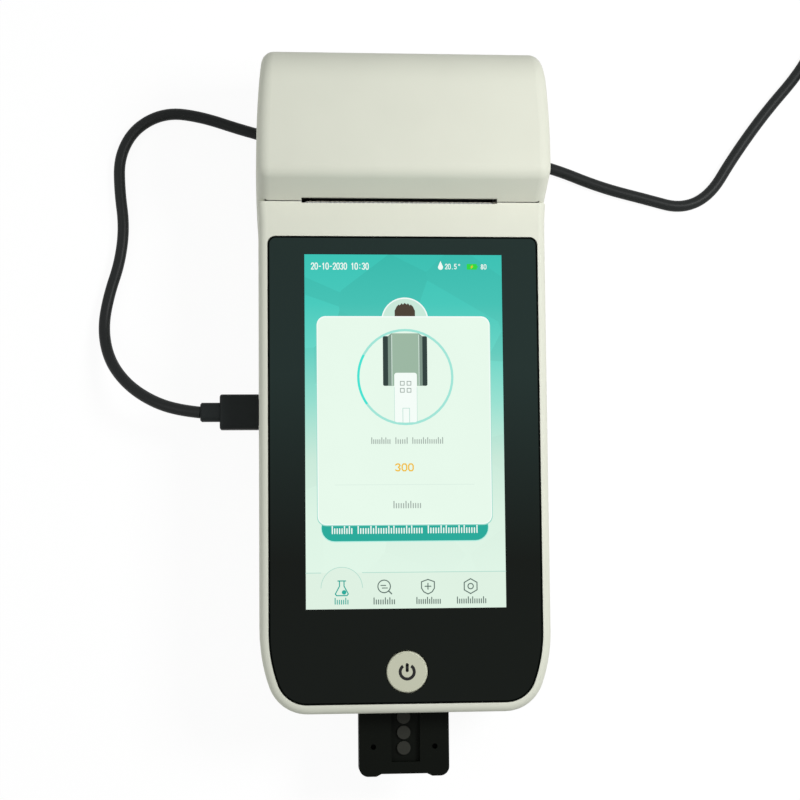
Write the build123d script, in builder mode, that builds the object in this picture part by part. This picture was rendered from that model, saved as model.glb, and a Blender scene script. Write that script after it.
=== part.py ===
from build123d import *
import math
import os

# Front face, from the tray end of the case to the printer end, in millimetres.
end_border = 3.0
glass_length = 145.2
deck_length = 11.1
head_length = 47.7
tray_reach = 20.7
glass_width = 84.9
side_border = 2.75

# Heights above the table.
foot_height = 3.0
head_floor = 10.0
cover_parting = 21.0
case_parting = 34.0
face_height = 42.0
head_rise = 11.0

# Shells.
wall = 2.2
part_gap = 0.3
seam_gap = 0.25
side_corner_radius = 48.0
side_corner_turn = 20.0
end_corner_radius = 12.5
flare_radius = 60.0
flare_turn = 4.0
bow_radius = 260.0
front_edge_radius = 2.4
back_edge_radius = 7.0
rear_corner_radius = 4.5
slope_run = 7.0
slope_top_radius = 5.0
roll_radius = 12.0
head_fall = 1.2
cover_edge_radius = 4.0
undercut_length = 13.0
undercut_round = 20.0
lip_height = 1.6
lip_width = 1.0
lip_gap = 0.2

# Glass, display and power button.
glass_thickness = 1.1
glass_gap = 0.15
glass_top_radius = 2.5
display_width = 70.0
display_length = 121.0
display_thickness = 2.6
display_corner = 1.5
display_frame = 3.0
display_recess = 0.4
screen_from_end = 87.3
button_radius = 6.35
button_gap = 0.3
button_proud = 0.2
button_thickness = 3.6
button_edge_radius = 0.5
button_flange = 1.3
button_flange_height = 1.0
button_from_end = 12.7
button_travel = 0.6
switch_size = 6.0
switch_height = 2.6
plunger_radius = 1.7
plunger_proud = 0.9
plunger_depth = 1.0
switch_floor = 0.6
running_gap = 0.05
small_board_thickness = 1.2
button_board_length = 28.0
button_board_width = 14.0
button_post_spacing = 23.0
small_board_corner = 1.5

# Cassette reader.
tray_width = 28.4
tray_length = 74.9
tray_thickness = 5.0
tray_top = 28.5
tray_travel = 20.0
lobe_length = 0.8
lobe_width = 5.4
lobe_radius = 2.9
lobe_slant = 1.6
tray_corner_radius = 1.5
locating_hole_radius = 0.85
locating_hole_spacing = 19.4
locating_hole_from_end = 9.2
locating_hole_depth = 3.0
channel_width = 9.0
channel_depth = 1.8
channel_offset = 0.5
channel_from_end = 4.5
pad_radius = 2.1
pad_height = 0.9
pad_pitch = 4.8
pad_count = 6
pad_from_end = 8.7
tongue_width = 1.2
tongue_height = 1.6
tongue_set_back = 3.0
slide_gap = 0.3
guide_wall = 3.0
guide_floor = 2.0
guide_top = 32.6
guide_from_end = 3.6
guide_ear = 7.0
guide_ear_overlap = 1.0
guide_screw_front = 6.0
guide_screw_rear = 8.0
gate_gap = 1.0
gate_room = 4.7
rack_width = 3.0
rack_place = 7.5
rack_base = 0.6
rack_teeth = 15
rack_slot_gap = 1.2
rack_slot_end = 4.0
optics_length = 28.0
optics_height = 3.8
lens_radius = 3.0
lens_height = 1.6
lens_bulge = 0.7
lamp_radius = 1.5
lamp_offset = 7.5
lamp_height = 2.2
lamp_edge_radius = 0.8
optics_from_end = 6.0
optics_corner_radius = 2.0
lens_sink = 0.6
sensor_board_inset = 3.0
motor_length = 18.0
motor_width = 12.0
motor_height = 10.0
motor_corner_radius = 2.0
motor_from_end = 13.0
motor_bore = 6.0
motor_seat_inset = 2.0
shaft_reach = 5.5

# Printer.
platen_radius = 4.8
platen_length = 58.0
platen_drop = 6.5
platen_set_back = 0.8
platen_chamfer = 0.4
shaft_radius = 2.0
bush_wall = 1.0
bush_length = 2.4
slot_width = 61.8
slot_depth = 0.8
paper_offset = -1.0
print_head_thickness = 2.7
print_head_height = 10.0
print_head_drop = 1.0
print_head_overhang = 1.0
heat_sink_thickness = 3.8
fin_count = 4
fin_groove = 1.1
fin_pitch = 2.2
fin_depth = 1.3
spring_thickness = 0.4
spring_width = 8.0
roll_share = 0.589
bucket_clearance = 1.65
roll_height = 32.0
bucket_wall = 1.4
bucket_leg_length = 10.0
bucket_leg_width = 8.0
hinge_radius = 3.2
hinge_lug_width = 3.8
hinge_lug_inset = 3.2
hinge_pin_radius = 1.25
hinge_pin_length = 12.3
gear_module = 0.5
gear_width = 2.5
gear_backlash = 0.14
gear_addendum = 0.95
gear_dedendum = 1.25
pressure_angle = 20.0
mesh_gap = 0.1
platen_teeth = 20
idler_teeth = 18
motor_teeth = 12
motor_lean = 30.0
tray_teeth = 16
plate_thickness = 1.5
plate_clearance = 2.6
plate_top_gap = 1.6
plate_past_platen = 3.5
plate_shoulder = 4.0
plate_cheek = 6.0
plate_corner_radius = 1.0
notch_lean = 32.0
motor_hole_radius = 2.2
flange_rise = 3.0
flange_depth = 9.0
flange_screw_inset = 5.0
gear_clearance = 0.9
ear_clearance = 0.8
stepper_radius = 7.5
stepper_length = 14.0
axle_radius = 1.0
axle_end_gap = 0.3
axle_head_radius = 1.6
axle_head_height = 0.4
motor_shaft_inside = 6.0
stepper_edge_radius = 0.8
ear_thickness = 2.3
tear_bar_thickness = 0.35
tear_bar_height = 2.2
tear_tooth_pitch = 1.5
tear_tooth_depth = 0.8
tear_bar_gap = 0.05

# Boards, battery, fasteners and feet.
board_thickness = 1.6
board_bottom = 24.0
board_width = 70.0
board_length = 63.0
board_from_seam = 13.1
board_corner = 3.0
board_screw_inset = 3.5
processor_length = 22.0
processor_width = 18.0
processor_height = 2.2
chip_size = 10.0
chip_height = 1.2
radio_length = 13.0
radio_width = 8.0
plug_strip_length = 28.0
plug_strip_width = 4.0
plug_strip_height = 2.1
battery_width = 56.0
battery_length = 58.0
battery_thickness = 10.0
battery_radius = 2.5
battery_edge_radius = 1.5
boss_radius = 3.0
boss_inset = 6.6
boss_split = 20.0
boss_from_end = 16.2
boss_before_plug = 15.0
post_radius = 2.5
screw_radius = 1.3
screw_head_radius = 2.3
screw_head_height = 1.6
screw_sink = 2.4
screw_length = 27.0
screw_socket_radius = 1.1
screw_socket_depth = 0.8
screw_hole_gap = 0.15
screw_head_gap = 0.2
small_screw_radius = 1.0
screw_clearance = 0.1
small_head_radius = 1.9
small_head_height = 1.2
small_screw_length = 6.0
foot_radius = 5.5
foot_sink = 1.0
foot_inset = 15.2
foot_before_seam = 12.0
foot_edge_radius = 0.8

# Charging plug and cord.
plug_from_end = 94.5
plug_height = 22.4
plug_width = 11.3
plug_thickness = 6.4
plug_length = 12.4
plug_radius = 1.6
plug_end_radius = 0.8
contact_width = 8.3
contact_height = 2.4
contact_length = 6.5
contact_wall = 0.3
socket_length = 7.3
socket_wall = 0.35
socket_set_back = 0.4
socket_back = 0.6
socket_tongue_length = 4.5
socket_tongue_width = 6.6
socket_tongue_thickness = 0.7
side_port_gap = 0.6
relief_length = 6.2
relief_width = 6.1
relief_thickness = 5.0
relief_radius = 1.8
relief_chamfer = 0.5
cord_diameter = 3.8
coil_centre_x = 171.0
coil_centre_y = 122.0
coil_outer_turn = 24.8
coil_inner_turn = 17.2
coil_edge_radius = 1.2
far_plug_width = 15.5
far_plug_thickness = 8.0
far_plug_length = 26.0
far_contact_width = 12.0
far_contact_height = 4.5
far_contact_length = 17.0
far_contact_wall = 0.35
far_tongue_thickness = 1.6
far_plug_side_radius = 1.6
far_plug_end_radius = 1.2
tail_length = 22.0

# Places along the length, worked out from the driving lengths.
case_length = end_border + glass_length + deck_length + head_length
overall_length = case_length + tray_reach
head_end = overall_length / 2
case_end = head_end - case_length
tray_end = case_end - tray_reach
glass_end = case_end + end_border
glass_top = glass_end + glass_length
seam = glass_top + deck_length
case_half_width = glass_width / 2 + side_border
flare_start = glass_top + 3.0
screen_y = case_end + screen_from_end
button_y = case_end + button_from_end
plug_y = case_end + plug_from_end

# Heights worked out from the shells.
deck_under = face_height - wall
glass_under = face_height - glass_thickness
display_under = glass_under - display_thickness
floor_top = foot_height + wall
head_top = face_height + head_rise
hinge_y = head_end - hinge_radius
hinge_z = cover_parting
trough_radius = hinge_radius + part_gap
cover_front = seam + seam_gap

# The platen and the gear train below it, along the way the cover carries the platen off.
platen_y = seam + platen_set_back + platen_radius
platen_z = face_height - platen_drop
platen_pitch = gear_module * platen_teeth / 2
idler_pitch = gear_module * idler_teeth / 2
motor_pitch = gear_module * motor_teeth / 2
swing = math.hypot(hinge_y - platen_y, platen_z - hinge_z)
lift_y = (platen_z - hinge_z) / swing
lift_z = (hinge_y - platen_y) / swing
idler_reach = platen_pitch + idler_pitch + mesh_gap
idler_y = platen_y - lift_y * idler_reach
idler_z = platen_z - lift_z * idler_reach
motor_reach = idler_pitch + motor_pitch + mesh_gap
motor_y = idler_y + motor_reach * math.sin(math.radians(motor_lean))
motor_z = idler_z - motor_reach * math.cos(math.radians(motor_lean))
plate_inner = platen_length / 2 + plate_clearance
plate_outer = plate_inner + plate_thickness
gear_inner = plate_outer + gear_clearance
ear_inner = gear_inner + gear_width + ear_clearance
ear_outer = ear_inner + ear_thickness
roll_y = seam + roll_share * head_length
roll_room = math.hypot(roll_y - motor_y, roll_height - motor_z)
roll_room -= stepper_radius + bucket_wall + bucket_clearance
chassis_start = glass_top


# Ways of standing a block on its place: up from it, down from it, or to either side of it.
upright = (Align.CENTER, Align.CENTER, Align.MIN)
hanging = (Align.CENTER, Align.CENTER, Align.MAX)
onward = (Align.CENTER, Align.MIN)
backward = (Align.CENTER, Align.MAX)
end_on = (Align.CENTER, Align.MAX, Align.CENTER)


def draw_soft_end(half_width, end_y, side_radius, end_radius):
    """Half of a soft end: along the end, round a tight arc, then up a wide one to the flank."""
    turn = math.radians(side_corner_turn)
    corner_x = half_width - side_radius + (side_radius - end_radius) * math.cos(turn)
    base = Line((0, end_y), (corner_x, end_y))
    corner = JernArc(base @ 1, (1, 0), end_radius, 90 - side_corner_turn)
    return JernArc(corner @ 1, corner % 1, side_radius, side_corner_turn)


def case_outline(inset):
    """The plan of the whole case: soft end corners, straight flanks, a flare and a bowed head."""
    bow_centre = flare_start + (flare_radius + bow_radius) * math.sin(math.radians(flare_turn))
    bow_end = math.degrees(math.asin((head_end - inset - bow_centre) / (bow_radius - inset)))
    with BuildLine() as outline:
        shoulder = draw_soft_end(
            case_half_width - inset,
            case_end + inset,
            side_corner_radius - inset,
            end_corner_radius - inset,
        )
        flank = Line(shoulder @ 1, (case_half_width - inset, flare_start))
        flare = JernArc(flank @ 1, (0, 1), flare_radius + inset, -flare_turn)
        bow = JernArc(flare @ 1, flare % 1, bow_radius - inset, flare_turn + bow_end)
        Line(bow @ 1, (0, head_end - inset))
        mirror(about=Plane.YZ)
    return outline.edges()


def glass_outline(inset):
    """The plan of the glass: square at the top, with soft corners at the tray end."""
    with BuildLine() as outline:
        shoulder = draw_soft_end(
            glass_width / 2 - inset,
            glass_end + inset,
            side_corner_radius - side_border - inset,
            end_corner_radius - end_border - inset,
        )
        Polyline(shoulder @ 1, (glass_width / 2 - inset, glass_top - inset), (0, glass_top - inset))
        mirror(about=Plane.YZ)
    return outline.edges()


def rim_edges(faces):
    """The edges that belong to only one of the faces, which are the rim round them all."""
    every = [edge for face in faces for edge in face.edges()]
    return ShapeList(edge for edge in every if sum(edge.is_same(other) for other in every) == 1)


def tub_form(inset):
    """The solid form of the back case, or of the hollow in it when inset by the wall."""
    with BuildPart() as form:
        with BuildSketch(Plane.XY.offset(foot_height + inset)):
            make_face(case_outline(inset))
            fillet(vertices().group_by(Axis.Y)[-1], rear_corner_radius - inset)
        extrude(amount=case_parting - foot_height)
        with BuildSketch(Plane.YZ):
            with BuildLine():
                Polyline(
                    (case_end - wall, case_parting + wall),
                    (case_end - wall, foot_height + inset),
                    (seam, foot_height + inset),
                    (seam + undercut_length, head_floor + inset),
                    (head_end + wall, head_floor + inset),
                    (head_end + wall, case_parting + wall),
                    close=True,
                )
            make_face()
            bends = vertices().filter_by(lambda v: seam - 1 < v.X < seam + undercut_length + 1)
            fillet(bends, undercut_round)
        extrude(amount=2 * case_half_width, both=True, mode=Mode.INTERSECT)
        under = faces().filter_by(lambda face: face.normal_at().Z < -0.5)
        fillet(rim_edges(under), back_edge_radius - inset)
    return form.part


def cover_form(inset):
    """The solid form of the printer cover, or of the hollow in it when inset by the wall."""
    with BuildPart() as form:
        with BuildSketch(Plane.YZ):
            with BuildLine():
                Polyline(
                    (head_end, cover_parting + part_gap),
                    (cover_front, cover_parting + part_gap),
                    (cover_front, face_height),
                    (cover_front + slope_run, head_top),
                    (head_end, head_top - head_fall),
                    close=True,
                )
            make_face()
            fillet(vertices().sort_by(Axis.Y)[-1], slope_top_radius)
            fillet(vertices().sort_by_distance((head_end, head_top - head_fall))[0], roll_radius)
            if inset:
                offset(amount=-inset, kind=Kind.INTERSECTION, mode=Mode.REPLACE)
        extrude(amount=2 * case_half_width, both=True)
        with BuildSketch(Plane.XY):
            make_face(case_outline(inset))
        extrude(amount=2 * head_top, mode=Mode.INTERSECT)
        crown = faces().filter_by(lambda face: abs(face.normal_at().X) < 0.1)
        crown = crown.filter_by(lambda face: face.normal_at().Z > 0.1 or face.normal_at().Y > 0.9)
        sides = rim_edges(crown).filter_by(lambda edge: abs((edge % 0.5).X) < 0.5)
        fillet(sides, cover_edge_radius - inset)
    return form.part


def gear_outline(teeth, centre_y, centre_z, tooth_angle):
    """Involute teeth as short straight flanks, with one tooth pointing along tooth_angle."""
    pitch = gear_module * teeth / 2
    base = pitch * math.cos(math.radians(pressure_angle))
    tip = pitch + gear_addendum * gear_module
    root = pitch - gear_dedendum * gear_module
    half_pitch = math.pi / (2 * teeth) - gear_backlash / (2 * pitch)
    flat = math.radians(pressure_angle)
    points = []
    for tooth in range(teeth):
        middle = tooth_angle + 2 * math.pi * tooth / teeth
        flank = []
        for radius in (root, max(base, root), pitch, tip):
            slant = math.acos(min(1.0, base / radius))
            half = half_pitch + math.tan(flat) - flat - math.tan(slant) + slant
            flank.append((radius, half))
        turns = [(radius, middle - half) for radius, half in flank]
        turns += [(radius, middle + half) for radius, half in reversed(flank)]
        for radius, angle in turns:
            points.append((centre_y + radius * math.cos(angle), centre_z + radius * math.sin(angle)))
    return points


# Back case: a deep moulded tub on four feet, raised under the printer, with bosses inside.
case_screw_places = [
    (side * (case_half_width - boss_inset), y)
    for side in (-1, 1)
    for y in (
        case_end + boss_from_end,
        plug_y - boss_before_plug,
        chassis_start - boss_radius - 1.5 * part_gap,
    )
]
foot_places = [
    (side * (case_half_width - foot_inset), y)
    for side in (-1, 1)
    for y in (case_end + foot_inset, seam - foot_before_seam)
]
board_middle_y = seam - board_from_seam - board_length / 2
board_screw_places = [
    (x * (board_width / 2 - board_screw_inset), board_middle_y + y * (board_length / 2 - board_screw_inset))
    for x in (-1, 1)
    for y in (-1, 1)
]
guide_half_width = tray_width / 2 + slide_gap + guide_wall
guide_start = case_end + guide_from_end
guide_end = tray_end + tray_length + tray_travel + 1.0
guide_under = tray_top - tray_thickness - slide_gap - guide_floor
guide_screw_places = [
    (side * (guide_half_width + guide_ear / 2), y)
    for side in (-1, 1)
    for y in (guide_start + guide_screw_front, guide_end - guide_screw_rear)
]
flange_height = head_floor + flange_rise
chassis_screw_places = [
    (side * (plate_inner - flange_screw_inset), chassis_start + flange_screw_inset)
    for side in (-1, 1)
]
tray_gate_height = tray_thickness + gate_gap + gate_room
tray_under = tray_top - tray_thickness
tray_inner_end = tray_end + tray_length
tray_motor_y = tray_inner_end - motor_from_end
rack_pitch_z = tray_top - tray_thickness - rack_base - gear_dedendum * gear_module
tray_motor_z = rack_pitch_z - gear_module * tray_teeth / 2 - mesh_gap / 2
tray_motor_x = guide_half_width + 0.6
lug_outer = case_half_width - hinge_lug_inset
lug_inner = lug_outer - hinge_lug_width
with BuildPart() as back_case:
    add(tub_form(0))
    add(tub_form(wall), mode=Mode.SUBTRACT)
    with BuildSketch(Plane.YZ):
        with Locations((seam + head_length / 2, case_parting)):
            Rectangle(head_length, 2 * (case_parting - cover_parting))
    extrude(amount=2 * case_half_width, both=True, mode=Mode.SUBTRACT)
    with BuildSketch(Plane.YZ):
        with Locations((hinge_y, hinge_z)):
            Circle(trough_radius)
        with Locations((hinge_y + head_length / 2, hinge_z)):
            Rectangle(head_length, 2 * trough_radius)
    extrude(amount=2 * case_half_width, both=True, mode=Mode.SUBTRACT)
    for side in (-1, 1):
        with BuildSketch(Plane.YZ.offset(side * lug_inner)):
            with Locations((hinge_y, hinge_z)):
                Circle(hinge_radius)
            with Locations((hinge_y - hinge_radius, head_floor + wall / 2)):
                Rectangle(
                    1.3 * hinge_radius,
                    hinge_z - head_floor - wall / 2,
                    align=(Align.MIN, Align.MIN),
                )
            with Locations((hinge_y, hinge_z)):
                Circle(hinge_pin_radius, mode=Mode.SUBTRACT)
        extrude(amount=side * hinge_lug_width)
    with Locations(*[(x, y, floor_top - wall / 2) for x, y in case_screw_places]):
        Cylinder(boss_radius, boss_split - floor_top + wall / 2, align=upright)
    with Locations(*[(x, y, floor_top - wall / 2) for x, y in board_screw_places]):
        Cylinder(post_radius, board_bottom - floor_top + wall / 2, align=upright)
    with Locations(*[(x, y, floor_top - wall / 2) for x, y in guide_screw_places]):
        Cylinder(post_radius, guide_under - floor_top + wall / 2, align=upright)
    with Locations(*[(x, y, floor_top - wall / 2) for x, y in chassis_screw_places]):
        Cylinder(boss_radius, flange_height - floor_top + wall / 2, align=upright)
    with Locations((tray_motor_x + motor_length / 2, tray_motor_y, floor_top - wall / 2)):
        Box(
            motor_length - 2 * motor_seat_inset,
            motor_width - 2 * motor_seat_inset,
            tray_motor_z - motor_height / 2 - floor_top + wall / 2,
            align=upright,
        )
    with Locations(*[(x, y, foot_height) for x, y in case_screw_places]):
        Cylinder(
            screw_radius + screw_hole_gap,
            boss_split,
            align=upright,
            mode=Mode.SUBTRACT,
        )
        Cylinder(
            screw_head_radius + screw_head_gap,
            2 * screw_sink,
            mode=Mode.SUBTRACT,
        )
    with Locations(*[(x, y, 0) for x, y in board_screw_places]):
        with Locations((0, 0, board_bottom)):
            Cylinder(
                small_screw_radius,
                small_screw_length,
                align=hanging,
                mode=Mode.SUBTRACT,
            )
    with Locations(*[(x, y, guide_under) for x, y in guide_screw_places]):
        Cylinder(
            small_screw_radius,
            small_screw_length,
            align=hanging,
            mode=Mode.SUBTRACT,
        )
    with Locations(*[(x, y, flange_height) for x, y in chassis_screw_places]):
        Cylinder(
            small_screw_radius,
            small_screw_length,
            align=hanging,
            mode=Mode.SUBTRACT,
        )
    with Locations(*[(x, y, foot_height) for x, y in foot_places]):
        Cylinder(foot_radius, 2 * foot_sink, mode=Mode.SUBTRACT)
    with BuildSketch(Plane.XZ.offset(-case_end - 2 * wall)):
        with Locations((0, tray_top - tray_thickness - gate_gap)):
            Rectangle(tray_width + 2 * gate_gap, tray_gate_height, align=onward)
        fillet(vertices(), 1.2)
    extrude(amount=4 * wall, mode=Mode.SUBTRACT)
    with BuildSketch(Plane.YZ.offset(-case_half_width - wall)):
        with Locations((plug_y, plug_height)):
            SlotOverall(contact_width + 2 * side_port_gap, contact_height + 2 * side_port_gap)
    extrude(amount=3 * wall, mode=Mode.SUBTRACT)
back_case.part.label = "back_case"

# Front case: a shallow bezel frame with the glass recess, the bare deck and a lip into the tub.
with BuildPart() as front_case:
    with BuildSketch(Plane.XY.offset(case_parting)):
        make_face(case_outline(0))
        with Locations((0, seam)):
            Rectangle(4 * case_half_width, 2 * head_length, align=onward, mode=Mode.SUBTRACT)
    extrude(amount=face_height - case_parting)
    face_rim = edges().group_by(Axis.Z)[-1].filter_by(lambda edge: edge.center().Y < seam - 0.1)
    fillet(face_rim, front_edge_radius)
    with BuildSketch(Plane.XY.offset(case_parting)):
        make_face(case_outline(wall))
    extrude(amount=deck_under - case_parting, mode=Mode.SUBTRACT)
    with BuildSketch(Plane.XY.offset(case_parting)):
        make_face(case_outline(wall - 0.1))
        make_face(case_outline(wall + lip_gap + lip_width), mode=Mode.SUBTRACT)
        with Locations((0, seam)):
            Rectangle(4 * case_half_width, 2 * head_length, align=onward, mode=Mode.SUBTRACT)
    extrude(amount=deck_under - case_parting)
    with BuildSketch(Plane.XY.offset(case_parting)):
        make_face(case_outline(wall + lip_gap))
        make_face(case_outline(wall + lip_gap + lip_width), mode=Mode.SUBTRACT)
        with Locations((0, seam)):
            Rectangle(4 * case_half_width, 2 * head_length, align=onward, mode=Mode.SUBTRACT)
        with Locations((0, case_end)):
            Rectangle(tray_width + 4 * gate_gap, 6 * wall, mode=Mode.SUBTRACT)
    extrude(amount=-lip_height)
    with BuildSketch(Plane.XY.offset(glass_under)):
        make_face(glass_outline(-glass_gap))
        fillet(vertices().group_by(Axis.Y)[-1].filter_by(lambda v: abs(v.X) > 1), glass_top_radius)
    extrude(amount=glass_thickness, mode=Mode.SUBTRACT)
    with BuildSketch(Plane.XY.offset(deck_under)):
        with Locations((0, screen_y)):
            RectangleRounded(display_width + 2 * part_gap, display_length + 2 * part_gap, display_corner)
        with Locations((0, button_y)):
            Circle(button_radius + button_gap)
    extrude(amount=wall, mode=Mode.SUBTRACT)
    with Locations(*[(x, y, boss_split + part_gap) for x, y in case_screw_places]):
        Cylinder(
            boss_radius,
            deck_under - boss_split - part_gap + wall / 4,
            align=upright,
        )
        Cylinder(
            screw_radius,
            foot_height + screw_sink + screw_length - boss_split,
            align=upright,
            mode=Mode.SUBTRACT,
        )
    button_board_top = display_under + display_thickness - button_thickness - switch_height - plunger_proud
    with Locations(*[(side * button_post_spacing / 2, button_y, 0) for side in (-1, 1)]):
        with Locations((0, 0, button_board_top)):
            Cylinder(
                post_radius,
                deck_under - button_board_top + wall / 4,
                align=upright,
            )
    with BuildSketch(Plane.XY.offset(face_height)):
        with Locations((paper_offset, seam)):
            Rectangle(slot_width, 2 * (tear_bar_thickness + 2 * tear_bar_gap))
    extrude(amount=-wall - lip_width, mode=Mode.SUBTRACT)
front_case.part.label = "front_case"


# Printer cover: a deep lid with a front slope, rolled down at the back round its hinge.
with BuildPart() as hinge_roll:
    with BuildSketch(Plane.XY.offset(hinge_z - 2 * hinge_radius)):
        make_face(case_outline(0))
        fillet(vertices().group_by(Axis.Y)[-1], rear_corner_radius)
    extrude(amount=4 * hinge_radius)
    with BuildSketch(Plane.YZ):
        with Locations((hinge_y, hinge_z)):
            Circle(hinge_radius)
    extrude(amount=2 * case_half_width, both=True, mode=Mode.INTERSECT)
with BuildPart() as cover_ears:
    for x in (-ear_outer, ear_inner):
        with BuildSketch(Plane.YZ.offset(x)):
            with Locations((platen_y, platen_z)):
                Circle(shaft_radius + wall)
                Rectangle(
                    2 * (shaft_radius + wall),
                    head_top - platen_z,
                    align=onward,
                )
        extrude(amount=ear_thickness)
    add(cover_form(wall / 2), mode=Mode.INTERSECT)
with BuildPart() as printer_cover:
    add(cover_form(0))
    add(cover_form(wall), mode=Mode.SUBTRACT)
    with BuildSketch(Plane.XY.offset(cover_parting - wall)):
        make_face(case_outline(wall))
        with Locations((0, seam + slope_run + wall)):
            Rectangle(4 * case_half_width, 4 * case_length, align=backward, mode=Mode.INTERSECT)
    extrude(amount=face_height - cover_parting + wall, mode=Mode.SUBTRACT)
    with BuildSketch(Plane.XY.offset(cover_parting - wall)):
        make_face(case_outline(wall))
        fillet(vertices().group_by(Axis.Y)[-1], rear_corner_radius - wall)
    extrude(amount=2 * wall + part_gap, mode=Mode.SUBTRACT)
    add(hinge_roll.part)
    for side in (-1, 1):
        with BuildSketch(Plane.YZ.offset(side * (lug_inner - part_gap))):
            with Locations((hinge_y, hinge_z)):
                Circle(trough_radius)
        extrude(amount=side * (hinge_lug_width + 2 * part_gap), mode=Mode.SUBTRACT)
    with BuildSketch(Plane.YZ):
        with Locations((hinge_y, hinge_z)):
            Circle(hinge_pin_radius + running_gap)
    extrude(amount=lug_outer + part_gap, both=True, mode=Mode.SUBTRACT)
    add(cover_ears.part)
    with BuildSketch(Plane.YZ):
        with Locations((platen_y, platen_z)):
            Circle(shaft_radius + running_gap)
    extrude(amount=ear_outer + 1, both=True, mode=Mode.SUBTRACT)
    with BuildSketch(Plane.XY.offset(face_height - wall)):
        with Locations((paper_offset, seam - 1)):
            Rectangle(slot_width, 1 + seam_gap + slot_depth, align=onward)
    extrude(amount=2 * wall + slope_run, mode=Mode.SUBTRACT)
printer_cover.part.label = "printer_cover"

# Hinge pins: two short steel pins through the tub's lugs into the ends of the cover's roll.
with BuildPart() as cover_hinge_pins:
    with BuildSketch(Plane.YZ.offset(lug_outer - hinge_pin_length)):
        with Locations((hinge_y, hinge_z)):
            Circle(hinge_pin_radius)
    extrude(amount=hinge_pin_length)
    mirror(about=Plane.YZ)
cover_hinge_pins.part.label = "cover_hinge_pins"

# Glass: one flat black-bordered pane over the whole front, holed for the button.
with BuildPart() as glass_panel:
    with BuildSketch(Plane.XY.offset(glass_under)):
        make_face(glass_outline(0))
        fillet(vertices().group_by(Axis.Y)[-1].filter_by(lambda v: abs(v.X) > 1), glass_top_radius)
        with Locations((0, button_y)):
            Circle(button_radius + button_gap, mode=Mode.SUBTRACT)
    extrude(amount=glass_thickness)
glass_panel.part.label = "glass_panel"

# Display: a thin framed panel bonded to the back of the glass.
with BuildPart() as display_module:
    with BuildSketch(Plane.XY.offset(display_under)):
        with Locations((0, screen_y)):
            RectangleRounded(display_width, display_length, display_corner)
    extrude(amount=display_thickness)
    with BuildSketch(Plane.XY.offset(display_under)):
        with Locations((0, screen_y)):
            RectangleRounded(
                display_width - 2 * display_frame,
                display_length - 2 * display_frame,
                display_corner,
            )
    extrude(amount=display_recess, mode=Mode.SUBTRACT)
display_module.part.label = "display_module"

# Power button: a round cap with a flange under the glass frame and a nub over its switch.
button_top = face_height + button_proud
button_under = glass_under + glass_thickness - button_thickness
nub_under = button_board_top + switch_height + plunger_proud
with BuildPart() as power_button:
    with BuildSketch(Plane.XZ.offset(-button_y)):
        with BuildLine():
            Polyline(
                (0, nub_under),
                (plunger_radius, nub_under),
                (plunger_radius, button_under),
                (button_radius + button_flange, button_under),
                (button_radius + button_flange, button_under + button_flange_height),
                (button_radius, button_under + button_flange_height),
                (button_radius, button_top),
                (0, button_top),
                close=True,
            )
        make_face()
    revolve(axis=Axis((0, button_y, 0), (0, 0, 1)))
    fillet(edges().group_by(Axis.Z)[-1], button_edge_radius)
power_button.part.label = "power_button"

# Switch: a small square body on its own board, with a plunger that moves with the button.
with BuildPart() as tact_switch:
    with Locations((0, button_y, button_board_top)):
        Box(switch_size, switch_size, switch_height, align=upright)
    with Locations((0, button_y, button_board_top + switch_height)):
        Cylinder(
            plunger_radius + running_gap,
            switch_height - switch_floor,
            align=hanging,
            mode=Mode.SUBTRACT,
        )
tact_switch.part.label = "tact_switch"

with BuildPart() as switch_plunger:
    with Locations((0, button_y, nub_under)):
        Cylinder(plunger_radius, plunger_proud + plunger_depth, align=hanging)
switch_plunger.part.label = "switch_plunger"

with BuildPart() as button_board:
    with BuildSketch(Plane.XY.offset(button_board_top)):
        with Locations((0, button_y)):
            RectangleRounded(button_board_length, button_board_width, small_board_corner)
    extrude(amount=-small_board_thickness)
button_board.part.label = "button_board"

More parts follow.
